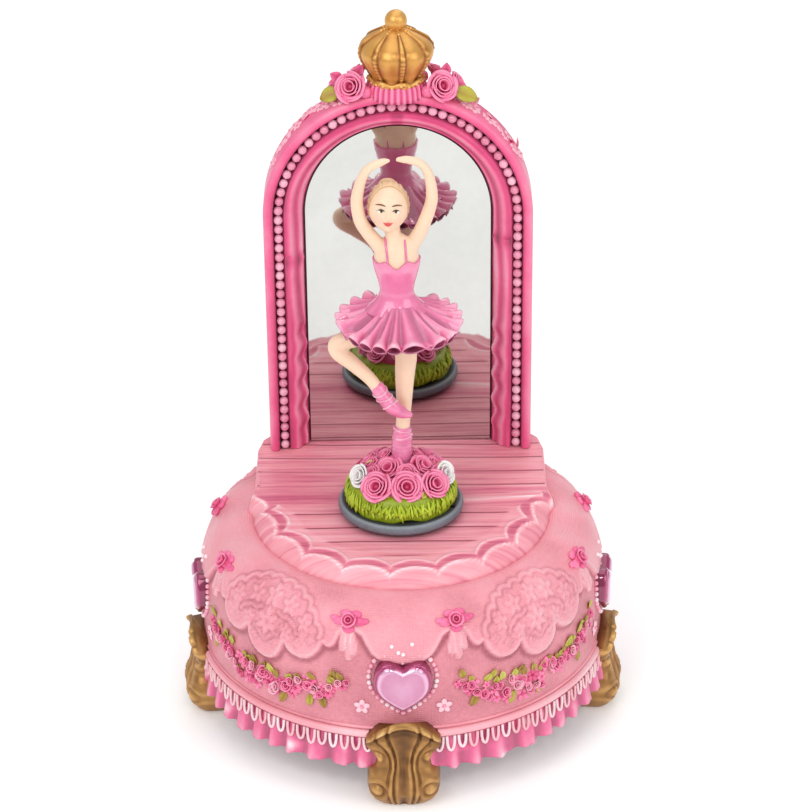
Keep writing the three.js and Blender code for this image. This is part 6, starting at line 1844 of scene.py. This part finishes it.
class MUSICBOX_OT_stage(bpy.types.Operator):
    """Lay the floor, hang the lights and stand the camera"""
    bl_idname = "music_box.stage"
    bl_label = "Floor, lights and camera"

    def execute(self, context):
        scene, settings = context.scene, context.scene.music_box_stage
        bm = bmesh.new()
        bmesh.ops.create_grid(bm, x_segments=2, y_segments=2, size=4.0)
        mesh = bpy.data.meshes.new("floor")
        bm.to_mesh(mesh)
        bm.free()
        floor = bpy.data.objects.new("floor", mesh)
        scene.collection.objects.link(floor)
        made, nodes, links, shader = material("floor_white")
        broad = noise_node(nodes, links, 3.0, 3.0)
        links.new(ramp(nodes, links, broad, [(0.3, srgb(250, 250, 250)), (0.7, srgb(254, 254, 254))]),
            shader.inputs["Base Color"])
        shader.inputs["Roughness"].default_value = 0.9
        shader.inputs["Specular IOR Level"].default_value = 0.1
        shader.inputs["Emission Color"].default_value = (1, 1, 1, 1)
        shader.inputs["Emission Strength"].default_value = 0.16
        mesh.materials.append(made)
        key, fill = settings.key_power, settings.fill_power
        lamps = (("key", (-0.55, -0.75, 0.85), 0.8, key), ("fill", (0.75, -0.6, 0.6), 0.7, fill),
                 ("top", (0.0, 0.15, 1.1), 0.9, fill * 0.9), ("back", (0.2, 0.9, 0.8), 0.7, fill * 0.5),
                 ("spark", (0.16, -0.7, 0.75), 0.1, key * 0.12))
        for name, at, size, power in lamps:
            data = bpy.data.lights.new(name, "AREA")
            data.shape = "SQUARE"
            data.size = size
            data.energy = power
            light = bpy.data.objects.new(name, data)
            light.matrix_world = Matrix.Translation(at) @ (Vector(at)
                - Vector((0, 0, 0.08))).to_track_quat("Z", "Y").to_matrix().to_4x4()
            scene.collection.objects.link(light)
        world = bpy.data.worlds.new("studio")
        world.use_nodes = True
        world.node_tree.nodes["Background"].inputs["Color"].default_value = (1, 1, 1, 1)
        world.node_tree.nodes["Background"].inputs["Strength"].default_value = settings.sky
        scene.world = world
        scene.view_settings.view_transform = "Standard"
        # the camera stands straight in front and looks down by about a third of a right angle
        elevation, azimuth, roll = (math.radians(a) for a in CAMERA_TURN)
        target = CAMERA_TARGET * MM
        back = Vector((math.sin(azimuth) * math.cos(elevation), -math.cos(azimuth) * math.cos(elevation),
            math.sin(elevation)))
        right = (-back).cross(UP).normalized()
        high = right.cross(-back)
        x = right * math.cos(roll) + high * math.sin(roll)
        y = high * math.cos(roll) - right * math.sin(roll)
        lens = bpy.data.cameras.new("camera")
        lens.sensor_width = 36.0
        lens.lens = LENS
        camera = bpy.data.objects.new("camera", lens)
        camera.matrix_world = Matrix.Translation(target
            + back * CAMERA_DISTANCE * MM) @ Matrix((x, y, back)).transposed().to_4x4()
        scene.collection.objects.link(camera)
        scene.camera = camera
        return {"FINISHED"}


PIECES = (MUSICBOX_OT_dome, MUSICBOX_OT_deck, MUSICBOX_OT_hem, MUSICBOX_OT_roses_on_dome,
    MUSICBOX_OT_hearts, MUSICBOX_OT_feet, MUSICBOX_OT_arch, MUSICBOX_OT_beads, MUSICBOX_OT_crown,
    MUSICBOX_OT_sprays, MUSICBOX_OT_mound, MUSICBOX_OT_dancer_body, MUSICBOX_OT_dancer_head,
    MUSICBOX_OT_dancer_dress, MUSICBOX_OT_carried_parts, MUSICBOX_OT_stage)
GROUPS = {"music_box_base": MusicBoxBase, "music_box_arch": MusicBoxArch,
    "music_box_dancer": MusicBoxDancer, "music_box_stage": MusicBoxStage}


class MUSICBOX_PT_panel(bpy.types.Panel):
    """The music box's settings and pieces"""
    bl_idname = "MUSICBOX_PT_panel"
    bl_label = "Music Box"
    bl_space_type = "VIEW_3D"
    bl_region_type = "UI"
    bl_category = "Music Box"

    def draw(self, context):
        for name in GROUPS:
            group = getattr(context.scene, name)
            box = self.layout.box()
            for key in group.bl_rna.properties.keys():
                if key not in {"rna_type", "name"}:
                    box.prop(group, key)
        for piece in PIECES:
            self.layout.operator(piece.bl_idname)


def register():
    for cls in (*GROUPS.values(), *PIECES, MUSICBOX_PT_panel):
        bpy.utils.register_class(cls)
    for name, cls in GROUPS.items():
        setattr(bpy.types.Scene, name, bpy.props.PointerProperty(type=cls))


def unregister():
    for name in GROUPS:
        delattr(bpy.types.Scene, name)
    for cls in reversed((*GROUPS.values(), *PIECES, MUSICBOX_PT_panel)):
        bpy.utils.unregister_class(cls)


def main():
    register()
    for piece in PIECES:
        group, name = piece.bl_idname.split(".")
        getattr(getattr(bpy.ops, group), name)()
    context = bpy.context
    context.view_layer.update()


if __name__ == "__main__":
    main()
